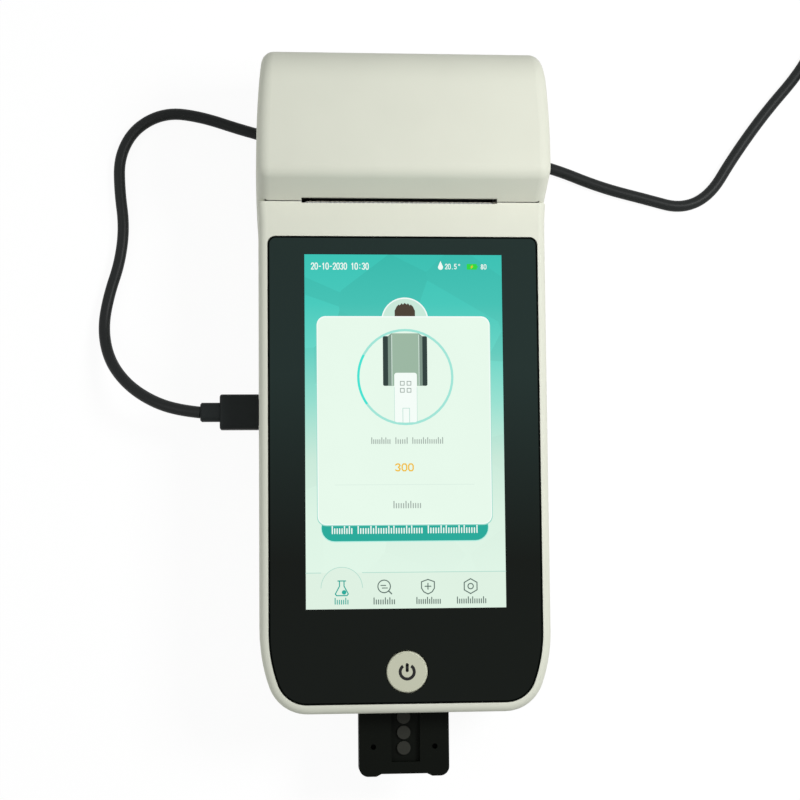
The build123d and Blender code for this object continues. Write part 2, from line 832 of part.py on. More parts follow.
# Cassette tray: a black plate with a lobed end, a sunk channel, two holes, tongues and a rack.
with BuildPart() as cassette_tray:
    with BuildSketch(Plane.XY.offset(tray_under)):
        with BuildLine():
            half = tray_width / 2
            Polyline(
                (half - lobe_width - lobe_slant, tray_end + lobe_length),
                (half - lobe_width, tray_end),
                (half, tray_end),
                (half, tray_inner_end),
                (-half, tray_inner_end),
                (-half, tray_end),
                (-half + lobe_width, tray_end),
                (-half + lobe_width + lobe_slant, tray_end + lobe_length),
                close=True,
            )
        make_face()
        fillet(vertices().group_by(Axis.Y)[0].group_by(Axis.X)[0], lobe_radius)
        fillet(vertices().group_by(Axis.Y)[0].group_by(Axis.X)[-1], lobe_radius)
        fillet(vertices().group_by(Axis.Y)[-1], tray_corner_radius)
    extrude(amount=tray_thickness)
    with BuildSketch(Plane.XY.offset(tray_top)):
        with Locations((0, tray_end + locating_hole_from_end)):
            with GridLocations(locating_hole_spacing, 0, 2, 1):
                Circle(locating_hole_radius)
    extrude(amount=-locating_hole_depth, mode=Mode.SUBTRACT)
    with BuildSketch(Plane.XY.offset(tray_top)):
        with Locations((channel_offset, tray_end + channel_from_end)):
            Rectangle(channel_width, tray_length, align=onward)
    extrude(amount=-channel_depth, mode=Mode.SUBTRACT)
    with BuildSketch(Plane.XY.offset(tray_under + tray_thickness / 2 - tongue_height / 2)):
        with Locations((0, tray_inner_end)):
            Rectangle(
                tray_width + 2 * tongue_width,
                tray_inner_end - guide_start - tongue_set_back,
                align=backward,
            )
        Rectangle(tray_width - 2 * tongue_width, 2 * overall_length, mode=Mode.SUBTRACT)
    extrude(amount=tongue_height)
    rack_pitch = math.pi * gear_module
    tooth_half = rack_pitch / 4 - gear_backlash / 2
    rack_middle = tray_motor_y - tray_travel / 2
    rack_low = rack_pitch_z - gear_addendum * gear_module
    rack_root = tray_under - rack_base
    with BuildSketch(Plane.YZ.offset(rack_place - rack_width / 2)):
        with Locations((rack_middle, tray_under)):
            Rectangle((rack_teeth + 1) * rack_pitch, rack_base, align=backward)
        for tooth in range(rack_teeth):
            middle = tray_motor_y - (tooth - 1) * rack_pitch
            slant = math.tan(math.radians(pressure_angle))
            with BuildLine():
                Polyline(
                    (middle - tooth_half - (rack_root - rack_pitch_z) * slant, rack_root),
                    (middle - tooth_half + (rack_pitch_z - rack_low) * slant, rack_low),
                    (middle + tooth_half - (rack_pitch_z - rack_low) * slant, rack_low),
                    (middle + tooth_half + (rack_root - rack_pitch_z) * slant, rack_root),
                    close=True,
                )
            make_face()
    extrude(amount=rack_width)
cassette_tray.part.label = "cassette_tray"

# Tray pads: a row of small round pads in the channel.
with BuildPart() as tray_pads:
    channel_floor = tray_top - channel_depth
    with Locations(*[(0, tray_end + pad_from_end + pad_pitch * n, channel_floor) for n in range(pad_count)]):
        Cylinder(pad_radius, pad_height, align=upright)
tray_pads.part.label = "tray_pads"

# Tray guide: a channel with grooves for the tongues, a slot for the rack and four ears.
with BuildPart() as tray_guide:
    guide_length = guide_end - guide_start
    guide_middle = (guide_start + guide_end) / 2
    with Locations((0, guide_middle, guide_under)):
        Box(
            2 * guide_half_width,
            guide_length,
            guide_top - guide_under,
            align=upright,
        )
    with Locations(*[(x, y, guide_under) for x, y in guide_screw_places]):
        Box(
            guide_ear + 2 * guide_ear_overlap,
            guide_ear,
            guide_floor,
            align=upright,
        )
    with Locations((0, guide_middle, guide_under + guide_floor)):
        Box(
            tray_width + 2 * slide_gap,
            2 * guide_length,
            2 * guide_top,
            align=upright,
            mode=Mode.SUBTRACT,
        )
    with Locations((0, guide_start + tongue_set_back - slide_gap, tray_under + tray_thickness / 2)):
        Box(
            tray_width + 2 * tongue_width + 2 * slide_gap,
            tray_inner_end + tray_travel - guide_start,
            tongue_height + 2 * slide_gap,
            align=(Align.CENTER, Align.MIN, Align.CENTER),
            mode=Mode.SUBTRACT,
        )
    with Locations((rack_place, guide_middle, guide_under)):
        Box(
            rack_width + 2 * rack_slot_gap,
            guide_length - 2 * rack_slot_end,
            3 * guide_floor,
            align=(Align.CENTER, Align.CENTER, Align.CENTER),
            mode=Mode.SUBTRACT,
        )
    with Locations(*[(x, y, guide_under) for x, y in guide_screw_places]):
        Cylinder(small_screw_radius + screw_clearance, 3 * guide_floor, mode=Mode.SUBTRACT)
tray_guide.part.label = "tray_guide"

# Tray motor: a flat gear motor on a block in the tub, with a shaft and pinion under the rack.
with BuildPart() as tray_motor:
    with Locations((tray_motor_x, tray_motor_y, tray_motor_z)):
        Box(motor_length, motor_width, motor_height, align=(Align.MIN, Align.CENTER, Align.CENTER))
    fillet(edges().filter_by(Axis.X), motor_corner_radius)
    with Locations((tray_motor_x, tray_motor_y, tray_motor_z)):
        with Locations(Rotation(0, 90, 0)):
            Cylinder(axle_radius + running_gap, 2 * motor_bore, mode=Mode.SUBTRACT)
tray_motor.part.label = "tray_motor"

with BuildPart() as tray_pinion:
    with BuildSketch(Plane.YZ.offset(rack_place - rack_width / 2)):
        with BuildLine():
            Polyline(
                *gear_outline(
                    tray_teeth,
                    tray_motor_y,
                    tray_motor_z,
                    math.pi / 2 + math.pi / tray_teeth,
                ),
                close=True,
            )
        make_face()
    extrude(amount=rack_width)
    with BuildSketch(Plane.YZ.offset(rack_place - rack_width / 2)):
        with Locations((tray_motor_y, tray_motor_z)):
            Circle(axle_radius)
    extrude(amount=tray_motor_x - rack_place + rack_width / 2 + shaft_reach)
tray_pinion.part.label = "tray_pinion"

# Optics: a block bridging the guide, with a lens and a lamp over the cassette and a sensor board.
optics_y = guide_end - optics_length / 2 - optics_from_end
optics_top = guide_top + optics_height
with BuildPart() as optics_block:
    with Locations((0, optics_y, guide_top)):
        Box(
            2 * guide_half_width,
            optics_length,
            optics_height,
            align=upright,
        )
    fillet(edges().filter_by(Axis.Z), optics_corner_radius)
    with Locations((0, optics_y, guide_top)):
        Cylinder(lens_radius, 4 * optics_height, mode=Mode.SUBTRACT)
    with Locations((lamp_offset, optics_y, guide_top)):
        Cylinder(lamp_radius, 4 * optics_height, mode=Mode.SUBTRACT)
optics_block.part.label = "optics_block"

lens_sphere = (lens_radius ** 2 + lens_bulge ** 2) / (2 * lens_bulge)
lens_rim = optics_top - lens_sink - lens_height
with BuildPart() as objective_lens:
    with Locations((0, optics_y, lens_rim - lens_bulge)):
        Cylinder(lens_radius, lens_height + lens_bulge, align=upright)
    with Locations((0, optics_y, lens_rim - lens_bulge + lens_sphere)):
        Sphere(lens_sphere, mode=Mode.INTERSECT)
objective_lens.part.label = "objective_lens"

with BuildPart() as reader_lamp:
    with Locations((lamp_offset, optics_y, optics_top)):
        Cylinder(lamp_radius, lamp_height, align=hanging)
    fillet(edges().group_by(Axis.Z)[0], lamp_edge_radius)
reader_lamp.part.label = "reader_lamp"

with BuildPart() as sensor_board:
    with BuildSketch(Plane.XY.offset(optics_top)):
        with Locations((0, optics_y)):
            RectangleRounded(
                2 * (guide_half_width - sensor_board_inset),
                optics_length - 2 * optics_corner_radius,
                small_board_corner,
            )
    extrude(amount=small_board_thickness)
sensor_board.part.label = "sensor_board"

# Printer chassis: folded steel, with two side plates notched for the platen and a rear web.
chassis_top = deck_under - plate_top_gap
chassis_end = platen_y + platen_radius + plate_past_platen
notch = shaft_radius + bush_wall + 2 * running_gap
lean = math.radians(notch_lean)
with BuildPart() as printer_chassis:
    with BuildSketch(Plane.YZ.offset(plate_inner)):
        with BuildLine():
            Polyline(
                (chassis_start, flange_height),
                (chassis_end, flange_height),
                (chassis_end, platen_z - plate_cheek),
                (chassis_end - plate_shoulder, chassis_top),
                (chassis_start, chassis_top),
                close=True,
            )
        make_face()
        fillet(vertices().group_by(Axis.Y)[-1], plate_corner_radius)
        with Locations((platen_y, platen_z)):
            Circle(notch, mode=Mode.SUBTRACT)
        with BuildLine():
            Polyline(
                (platen_y - notch, platen_z),
                (platen_y - notch, platen_z + 4 * notch),
                (platen_y + notch * math.cos(lean) + 5 * notch * math.sin(lean), platen_z + 4 * notch),
                (platen_y + notch * math.cos(lean), platen_z - notch * math.sin(lean)),
                (platen_y, platen_z),
                close=True,
            )
        make_face(mode=Mode.SUBTRACT)
        with Locations((idler_y, idler_z)):
            Circle(axle_radius, mode=Mode.SUBTRACT)
        with Locations((motor_y, motor_z)):
            Circle(motor_hole_radius, mode=Mode.SUBTRACT)
    extrude(amount=plate_thickness)
    mirror(about=Plane.YZ)
    with Locations((0, chassis_start, flange_height)):
        Box(
            2 * plate_outer,
            plate_thickness,
            chassis_top - flange_height,
            align=(Align.CENTER, Align.MIN, Align.MIN),
        )
        Box(2 * plate_outer, flange_depth, plate_thickness, align=(Align.CENTER, Align.MIN, Align.MIN))
    with Locations(*[(x, y, flange_height) for x, y in chassis_screw_places]):
        Cylinder(small_screw_radius + screw_clearance, 4 * plate_thickness, mode=Mode.SUBTRACT)
printer_chassis.part.label = "printer_chassis"

# Print head: a ceramic heater plate on an aluminium sink, pressed to the platen by a leaf spring.
head_front = platen_y - platen_radius - part_gap
head_low = platen_z - print_head_height / 2 - print_head_drop
sink_front = head_front - print_head_thickness
sink_back = sink_front - heat_sink_thickness
with BuildPart() as print_head:
    with Locations((0, head_front, head_low)):
        Box(
            platen_length + 2 * print_head_overhang,
            print_head_thickness,
            print_head_height,
            align=(Align.CENTER, Align.MAX, Align.MIN),
        )
print_head.part.label = "print_head"

with BuildPart() as head_sink:
    with Locations((0, sink_front, head_low)):
        Box(
            platen_length + 2 * print_head_overhang,
            heat_sink_thickness,
            print_head_height,
            align=(Align.CENTER, Align.MAX, Align.MIN),
        )
    with BuildSketch(Plane.YZ):
        with Locations((sink_back, head_low + print_head_height / 2)):
            with GridLocations(0, fin_pitch, 1, fin_count):
                Rectangle(2 * fin_depth, fin_groove)
    extrude(amount=platen_length, both=True, mode=Mode.SUBTRACT)
head_sink.part.label = "head_sink"

web_face = chassis_start + plate_thickness
spring_z = head_low + print_head_height / 2
spring_reach = platen_length / 3
with BuildPart() as head_spring:
    with BuildSketch(Plane.XY.offset(spring_z - spring_width / 2)):
        with BuildLine():
            bow = ThreePointArc(
                (-spring_reach, web_face),
                (0, sink_back - spring_thickness),
                (spring_reach, web_face),
            )
            upper = ThreePointArc(
                (-spring_reach, web_face + spring_thickness),
                (0, sink_back),
                (spring_reach, web_face + spring_thickness),
            )
            Line(bow @ 0, upper @ 0)
            Line(bow @ 1, upper @ 1)
        make_face()
    extrude(amount=spring_width)
head_spring.part.label = "head_spring"

# Platen: a rubber roller on a steel shaft with a gear, turning in the cover's ears.
with BuildPart() as platen_roller:
    with BuildSketch(Plane.YZ.offset(-platen_length / 2)):
        with Locations((platen_y, platen_z)):
            Circle(platen_radius)
            Circle(shaft_radius, mode=Mode.SUBTRACT)
    extrude(amount=platen_length)
    chamfer(edges().filter_by(GeomType.CIRCLE).sort_by(SortBy.LENGTH)[-2:], platen_chamfer)
platen_roller.part.label = "platen_roller"

with BuildPart() as platen_shaft:
    with BuildSketch(Plane.YZ.offset(-ear_outer)):
        with Locations((platen_y, platen_z)):
            Circle(shaft_radius)
    extrude(amount=2 * ear_outer)
platen_shaft.part.label = "platen_shaft"

idler_line = math.atan2(idler_z - platen_z, idler_y - platen_y)
with BuildPart() as platen_gear:
    with BuildSketch(Plane.YZ.offset(gear_inner)):
        with BuildLine():
            Polyline(*gear_outline(platen_teeth, platen_y, platen_z, idler_line), close=True)
        make_face()
        with Locations((platen_y, platen_z)):
            Circle(shaft_radius, mode=Mode.SUBTRACT)
    extrude(amount=gear_width)
platen_gear.part.label = "platen_gear"

with BuildPart() as platen_bushes:
    with BuildSketch(Plane.YZ.offset(plate_inner - (bush_length - plate_thickness) / 2)):
        with Locations((platen_y, platen_z)):
            Circle(shaft_radius + bush_wall)
            Circle(shaft_radius + running_gap, mode=Mode.SUBTRACT)
    extrude(amount=bush_length)
    mirror(about=Plane.YZ)
platen_bushes.part.label = "platen_bushes"

# Gear train in the base: an idler on a fixed axle, and the pinion on the stepper's shaft.
idler_angle = idler_line + math.pi + math.pi / idler_teeth
with BuildPart() as idler_gear:
    with BuildSketch(Plane.YZ.offset(gear_inner)):
        with BuildLine():
            Polyline(*gear_outline(idler_teeth, idler_y, idler_z, idler_angle), close=True)
        make_face()
        with Locations((idler_y, idler_z)):
            Circle(axle_radius + running_gap, mode=Mode.SUBTRACT)
    extrude(amount=gear_width)
idler_gear.part.label = "idler_gear"

with BuildPart() as idler_axle:
    with BuildSketch(Plane.YZ.offset(plate_inner)):
        with Locations((idler_y, idler_z)):
            Circle(axle_radius)
    extrude(amount=gear_inner + gear_width + axle_end_gap - plate_inner)
    with BuildSketch(Plane.YZ.offset(gear_inner + gear_width + axle_end_gap)):
        with Locations((idler_y, idler_z)):
            Circle(axle_head_radius)
    extrude(amount=axle_head_height)
idler_axle.part.label = "idler_axle"

motor_line = math.atan2(motor_z - idler_z, motor_y - idler_y)
motor_angle = motor_line + math.pi + math.pi / motor_teeth
motor_angle += (idler_teeth / motor_teeth) * (motor_line - idler_angle)
with BuildPart() as motor_pinion:
    with BuildSketch(Plane.YZ.offset(gear_inner)):
        with BuildLine():
            Polyline(*gear_outline(motor_teeth, motor_y, motor_z, motor_angle), close=True)
        make_face()
    extrude(amount=gear_width)
    with BuildSketch(Plane.YZ.offset(plate_inner - motor_shaft_inside)):
        with Locations((motor_y, motor_z)):
            Circle(axle_radius)
    extrude(amount=gear_inner + gear_width + motor_shaft_inside - plate_inner)
motor_pinion.part.label = "motor_pinion"

with BuildPart() as printer_motor:
    with BuildSketch(Plane.YZ.offset(plate_inner)):
        with Locations((motor_y, motor_z)):
            Circle(stepper_radius)
    extrude(amount=-stepper_length)
    fillet(edges().group_by(Axis.X)[0], stepper_edge_radius)
    with BuildSketch(Plane.YZ.offset(plate_inner)):
        with Locations((motor_y, motor_z)):
            Circle(axle_radius + running_gap)
    extrude(amount=-motor_shaft_inside - axle_radius, mode=Mode.SUBTRACT)
printer_motor.part.label = "printer_motor"

# Paper bucket: a half-round trough for the roll, closed at both ends and open at the top.
with BuildPart() as paper_bucket:
    with BuildSketch(Plane.YZ.offset(-platen_length / 2 - bucket_wall)):
        with Locations((roll_y, roll_height)):
            Circle(roll_room + bucket_wall)
        with Locations((roll_y, roll_height)):
            Rectangle(4 * roll_room, 2 * roll_room, align=onward, mode=Mode.SUBTRACT)
        with Locations((hinge_y, hinge_z)):
            Circle(trough_radius, mode=Mode.SUBTRACT)
    extrude(amount=platen_length + 2 * bucket_wall)
    with BuildSketch(Plane.YZ.offset(-platen_length / 2)):
        with Locations((roll_y, roll_height)):
            Circle(roll_room)
    extrude(amount=platen_length, mode=Mode.SUBTRACT)
    with Locations(*[(x, roll_y, head_floor + wall) for x in (-platen_length / 3, platen_length / 3)]):
        Box(
            bucket_leg_width,
            bucket_leg_length,
            roll_height - roll_room - bucket_wall / 2 - head_floor - wall,
            align=upright,
        )
paper_bucket.part.label = "paper_bucket"

# Tear bar: a steel strip standing in the deck's edge, toothed along the slot.
with BuildPart() as tear_bar:
    with BuildSketch(Plane.XZ.offset(-seam + tear_bar_gap)):
        with BuildLine():
            teeth = int(slot_width / tear_tooth_pitch) - 1
            left = paper_offset - teeth * tear_tooth_pitch / 2
            tips = []
            for tooth in range(teeth):
                tips.append((left + tooth * tear_tooth_pitch, face_height - tear_tooth_depth))
                tips.append((left + (tooth + 0.5) * tear_tooth_pitch, face_height))
            right = left + teeth * tear_tooth_pitch
            Polyline(
                (left, face_height - tear_bar_height),
                *tips,
                (right, face_height - tear_tooth_depth),
                (right, face_height - tear_bar_height),
                close=True,
            )
        make_face()
    extrude(amount=tear_bar_thickness)
tear_bar.part.label = "tear_bar"

# Main board with its parts, on four posts of the tub, and the charging socket at its edge.
with BuildPart() as main_board:
    with BuildSketch(Plane.XY.offset(board_bottom)):
        with Locations((0, board_middle_y)):
            RectangleRounded(board_width, board_length, board_corner)
        with Locations(*board_screw_places):
            Circle(small_screw_radius + screw_clearance, mode=Mode.SUBTRACT)
    extrude(amount=board_thickness)
main_board.part.label = "main_board"

board_top = board_bottom + board_thickness
strip_from_middle = board_length / 2 - plug_strip_width
with BuildPart() as board_parts:
    with Locations((-processor_width / 2, board_middle_y + chip_size, board_top)):
        Box(processor_length, processor_width, processor_height, align=upright)
    with Locations((processor_width, board_middle_y + chip_size, board_top)):
        Box(chip_size, chip_size, chip_height, align=upright)
    with Locations((processor_width, board_middle_y - radio_width, board_top)):
        Box(radio_width, radio_length, chip_height, align=upright)
    with Locations(*[(0, board_middle_y + side * strip_from_middle, board_top) for side in (-1, 1)]):
        Box(plug_strip_length, plug_strip_width, plug_strip_height, align=upright)
board_parts.part.label = "board_parts"

socket_mouth = -case_half_width + wall + socket_set_back
socket_hole_width = contact_width + 2 * running_gap
socket_hole_height = contact_height + 2 * running_gap
with BuildPart() as usb_socket:
    with BuildSketch(Plane.YZ.offset(socket_mouth)):
        with Locations((plug_y, plug_height)):
            SlotOverall(socket_hole_width + 2 * socket_wall, socket_hole_height + 2 * socket_wall)
    extrude(amount=socket_length + socket_back)
    with BuildSketch(Plane.YZ.offset(socket_mouth)):
        with Locations((plug_y, plug_height)):
            SlotOverall(socket_hole_width, socket_hole_height)
    extrude(amount=socket_length, mode=Mode.SUBTRACT)
    with Locations((socket_mouth + socket_length + socket_back, plug_y, plug_height)):
        Box(
            socket_tongue_length,
            socket_tongue_width,
            socket_tongue_thickness,
            align=(Align.MAX, Align.CENTER, Align.CENTER),
        )
usb_socket.part.label = "usb_socket"

# Battery: a flat pouch cell on the tub's floor.
with BuildPart() as battery_pack:
    with BuildSketch(Plane.XY.offset(floor_top)):
        with Locations((0, board_middle_y)):
            RectangleRounded(battery_width, battery_length, battery_radius)
    extrude(amount=battery_thickness)
    fillet(edges().group_by(Axis.Z)[-1] + edges().group_by(Axis.Z)[0], battery_edge_radius)
battery_pack.part.label = "battery_pack"

# Fasteners: six long case screws from the back, and the small screws that hold the inner pieces.
with BuildPart() as case_screws:
    with Locations(*[(x, y, foot_height + screw_sink) for x, y in case_screw_places]):
        Cylinder(screw_radius, screw_length, align=upright)
        Cylinder(screw_head_radius, screw_head_height, align=hanging)
    with Locations(*[(x, y, foot_height + screw_sink - screw_head_height) for x, y in case_screw_places]):
        Cylinder(screw_socket_radius, 2 * screw_socket_depth, mode=Mode.SUBTRACT)
case_screws.part.label = "case_screws"

small_screw_seats = [(x, y, board_top) for x, y in board_screw_places]
small_screw_seats += [(x, y, guide_under + guide_floor) for x, y in guide_screw_places]
small_screw_seats += [(x, y, flange_height + plate_thickness) for x, y in chassis_screw_places]
with BuildPart() as inner_screws:
    with Locations(*small_screw_seats):
        Cylinder(small_screw_radius, small_screw_length, align=hanging)
        Cylinder(small_head_radius, small_head_height, align=upright)
inner_screws.part.label = "inner_screws"

# Feet: four round rubber pads glued into shallow recesses in the back.
with BuildPart() as rubber_feet:
    with Locations(*[(x, y, 0) for x, y in foot_places]):
        Cylinder(foot_radius, foot_height + foot_sink, align=upright)
    fillet(edges().group_by(Axis.Z)[0], foot_edge_radius)
rubber_feet.part.label = "rubber_feet"

# Charging plug: a moulded grip against the side wall, its metal shell in the socket, and a relief.
plug_face = -case_half_width - running_gap * 2
plug_back = plug_face - plug_length
relief_end = plug_back - relief_length
with BuildPart() as plug_grip:
    with Locations((plug_face, plug_y, plug_height)):
        Box(plug_length, plug_width, plug_thickness, align=(Align.MAX, Align.CENTER, Align.CENTER))
    fillet(edges().filter_by(Axis.X), plug_radius)
    fillet(edges().group_by(Axis.X)[0], plug_end_radius)
plug_grip.part.label = "plug_grip"

with BuildPart() as plug_contact:
    with BuildSketch(Plane.YZ.offset(plug_face)):
        with Locations((plug_y, plug_height)):
            SlotOverall(contact_width, contact_height)
            SlotOverall(
                contact_width - 2 * contact_wall,
                contact_height - 2 * contact_wall,
                mode=Mode.SUBTRACT,
            )
    extrude(amount=contact_length)
plug_contact.part.label = "plug_contact"

with BuildPart() as plug_relief:
    with Locations((plug_back, plug_y, plug_height)):
        Box(relief_length, relief_width, relief_thickness, align=(Align.MAX, Align.CENTER, Align.CENTER))
    fillet(edges().filter_by(Axis.X), relief_radius)
    chamfer(edges().group_by(Axis.X)[0], relief_chamfer)
plug_relief.part.label = "plug_relief"

# Cord: from the relief down to the table, round to the left, under the head and off to its coil.
lie = cord_diameter / 2
route = [
    (relief_end, plug_y, plug_height),
    (-71.5, 2.2, 21.6),
    (-80.8, 6.0, 17.2),
    (-88.8, 12.2, 11.4),
    (-94.4, 20.6, 6.2),
    (-96.4, 31.0, 2.9),
    (-94.6, 42.0, lie),
    (-91.0, 53.0, lie),
    (-89.6, 65.0, lie),
    (-91.2, 77.0, lie),
    (-91.4, 88.6, lie),
    (-86.2, 98.4, lie),
    (-76.0, 103.8, lie),
    (-64.0, 102.4, lie),
    (-50.0, 97.8, lie),
    (-32.0, 93.2, lie),
    (-10.0, 91.0, lie),
    (14.0, 91.2, lie),
    (36.0, 90.0, lie),
    (54.0, 86.2, lie),
    (71.0, 79.4, lie),
    (87.0, 75.4, lie),
    (99.0, 72.2, lie),
    (109.2, 77.0, lie),
    (117.2, 90.0, lie),
    (129.0, 106.0, lie),
    (142.0, 120.6, lie),
    (coil_centre_x - 0.756 * coil_outer_turn, coil_centre_y + 0.655 * coil_outer_turn, lie),
]
corners = [Vector(*point) for point in route]
bend_radii = []
for before, here, after in zip(corners, corners[1:], corners[2:]):
    run_in = here - before
    run_out = after - here
    half_turn = math.radians(run_in.get_angle(run_out)) / 2
    bend_radii.append(0.45 * min(run_in.length, run_out.length) / math.tan(half_turn))
print("bend radii", [round(radius) for radius in bend_radii])
with BuildPart() as cable:
    with BuildLine():
        cable_path = FilletPolyline(*route, radius=bend_radii)
    with BuildSketch(Plane(origin=route[0], z_dir=cable_path % 0)):
        Circle(cord_diameter / 2)
    sweep(path=cable_path)
cable.part.label = "cable"
cable_length = cable_path.length
print("cable", round(cable_length, 1), round(cable.part.volume / (math.pi * lie ** 2), 1))

# Coil: the rest of the cord, wound in two layers beside the instrument.
with BuildPart() as cable_coil:
    with BuildSketch(Plane.XY):
        with Locations((coil_centre_x, coil_centre_y)):
            Circle(coil_outer_turn + lie)
            Circle(coil_inner_turn - lie, mode=Mode.SUBTRACT)
    extrude(amount=2 * cord_diameter)
    fillet(edges(), coil_edge_radius)
cable_coil.part.label = "cable_coil"

# Far end: a short tail off the coil's top layer down to the flat supply plug on the table.
tail_x = coil_centre_x + coil_outer_turn
far_height = far_plug_thickness / 2
far_start = coil_centre_y - tail_length
with BuildPart() as cable_tail:
    with BuildLine():
        tail_path = FilletPolyline(
            (tail_x, coil_centre_y, far_height + 1.2),
            (tail_x + 0.5, coil_centre_y - tail_length / 2, far_height + 0.4),
            (tail_x, far_start, far_height),
            radius=60,
        )
    with BuildSketch(Plane(origin=tail_path @ 0, z_dir=tail_path % 0)):
        Circle(cord_diameter / 2)
    sweep(path=tail_path)
cable_tail.part.label = "cable_tail"

with BuildPart() as far_grip:
    with Locations((tail_x, far_start, far_height)):
        Box(far_plug_width, far_plug_length, far_plug_thickness, align=end_on)
    fillet(edges().filter_by(Axis.Y), far_plug_side_radius)
    fillet(edges().group_by(Axis.Y)[-1], far_plug_end_radius)
far_grip.part.label = "far_grip"

with BuildPart() as far_contact:
    with BuildSketch(Plane.XZ.offset(-far_start + far_plug_length)):
        with Locations((tail_x, far_height)):
            Rectangle(far_contact_width, far_contact_height)
            Rectangle(
                far_contact_width - 2 * far_contact_wall,
                far_contact_height - 2 * far_contact_wall,
                mode=Mode.SUBTRACT,
            )
        with Locations((tail_x, far_height + far_contact_height / 2 - far_contact_wall)):
            Rectangle(
                far_contact_width - far_contact_wall,
                far_tongue_thickness,
                align=backward,
            )
    extrude(amount=far_contact_length)
far_contact.part.label = "far_contact"

pieces = (
    back_case, front_case, printer_cover, cover_hinge_pins, glass_panel, display_module, power_button,
    tact_switch, switch_plunger, button_board, cassette_tray, tray_pads, tray_guide, tray_motor,
    tray_pinion, optics_block, objective_lens, reader_lamp, sensor_board, printer_chassis, print_head,
    head_sink, head_spring, platen_roller, platen_shaft, platen_gear, platen_bushes, idler_gear,
    idler_axle, motor_pinion, printer_motor, paper_bucket, tear_bar, main_board, board_parts,
    usb_socket, battery_pack, case_screws, inner_screws, rubber_feet, plug_grip, plug_contact,
    plug_relief, cable, cable_coil, cable_tail, far_grip, far_contact,
)
os.makedirs("parts", exist_ok=True)
for piece in pieces:
    export_step(piece.part, "parts/" + piece.part.label + ".step")
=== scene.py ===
import bpy
import numpy as np
from mathutils import Matrix, Vector


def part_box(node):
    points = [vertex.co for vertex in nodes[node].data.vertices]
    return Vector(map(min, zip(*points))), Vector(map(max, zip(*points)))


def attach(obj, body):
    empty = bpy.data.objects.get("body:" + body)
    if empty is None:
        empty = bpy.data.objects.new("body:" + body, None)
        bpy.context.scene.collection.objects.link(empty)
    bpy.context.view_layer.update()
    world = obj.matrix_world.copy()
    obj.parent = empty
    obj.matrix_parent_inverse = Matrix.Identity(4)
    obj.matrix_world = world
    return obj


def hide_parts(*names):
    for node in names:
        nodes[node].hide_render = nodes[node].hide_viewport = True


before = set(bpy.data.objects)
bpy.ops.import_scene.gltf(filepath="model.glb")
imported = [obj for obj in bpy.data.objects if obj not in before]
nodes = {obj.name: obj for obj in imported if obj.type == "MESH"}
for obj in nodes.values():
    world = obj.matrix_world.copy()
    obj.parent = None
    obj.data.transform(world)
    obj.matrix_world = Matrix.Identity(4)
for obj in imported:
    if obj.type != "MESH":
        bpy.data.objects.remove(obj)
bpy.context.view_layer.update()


# Case shells: back tub, front bezel and printer cover, moulded in one ivory plastic.
# The moulds were spark-eroded, so the skin has a fine even grain and a satin look. The two
# halves are screwed together, and the cover is hung on the back one.
def start_material(name, roughness, metallic=0.0):
    """A new node material, with its tree, its shader and the object's own coordinates."""
    material = bpy.data.materials.new(name)
    material.use_nodes = True
    tree = material.node_tree
    shader = tree.nodes["Principled BSDF"]
    shader.inputs["Roughness"].default_value = roughness
    shader.inputs["Metallic"].default_value = metallic
    place = tree.nodes.new("ShaderNodeTexCoord").outputs["Object"]
    return material, tree, shader, place


def add_noise(tree, place, scale, detail=3.0):
    """Noise over the piece, in lumps about 1/scale metres across."""
    noise = tree.nodes.new("ShaderNodeTexNoise")
    noise.inputs["Scale"].default_value = scale
    noise.inputs["Detail"].default_value = detail
    tree.links.new(place, noise.inputs["Vector"])
    return noise.outputs["Fac"]


def add_ramp(tree, factor, socket, stops):
    """Colour that runs through the (position, colour) stops with the factor."""
    ramp = tree.nodes.new("ShaderNodeValToRGB")
    elements = ramp.color_ramp.elements
    elements[0].position, elements[1].position = stops[0][0], stops[-1][0]
    for position, _ in stops[1:-1]:
        elements.new(position)
    for element, (_, colour) in zip(elements, stops):
        element.color = (*colour, 1)
    tree.links.new(factor, ramp.inputs["Fac"])
    if socket is not None:
        tree.links.new(ramp.outputs["Color"], socket)
    return ramp.outputs["Color"]


def add_bump(tree, shader, factor, depth):
    """Relief of the given depth in metres."""
    bump = tree.nodes.new("ShaderNodeBump")
    bump.inputs["Strength"].default_value = 1.0
    bump.inputs["Distance"].default_value = depth
    tree.links.new(factor, bump.inputs["Height"])
    tree.links.new(bump.outputs["Normal"], shader.inputs["Normal"])


def srgb(red, green, blue):
    """Screen values 0-255 as linear ones: v/12.92 when dark, else ((v + 0.055)/1.055)^2.4."""
    value = np.array((red, green, blue)) / 255
    return np.where(value <= 0.04045, value / 12.92, ((value + 0.055) / 1.055) ** 2.4).tolist()


def plastic(name, colour, roughness, grain=0.0, grain_scale=2600.0, spread=0.03, metallic=0.0,
            gloss=0.2):
    """Moulded plastic or plain metal: shades that differ by the spread, and grain in metres."""
    material, tree, shader, place = start_material(name, roughness, metallic)
    shader.inputs["Specular IOR Level"].default_value = gloss
    shades = [np.minimum(np.array(colour) * part, 1.0) for part in (1 - spread, 1 + spread)]
    add_ramp(tree, add_noise(tree, place, 60.0), shader.inputs["Base Color"],
             [(0.3, shades[0]), (0.7, shades[1])])
    if grain:
        add_bump(tree, shader, add_noise(tree, place, grain_scale, 2.0), grain)
    return material


def dress(material, *names):
    """Give the named pieces one finish."""
    for name in names:
        finishes = nodes[name].data.materials
        finishes.clear()
        finishes.append(material)


ivory = plastic("ivory_plastic", srgb(222, 223, 209), 0.55, grain=0.00001, spread=0.012)
dress(ivory, "back_case", "front_case", "printer_cover")


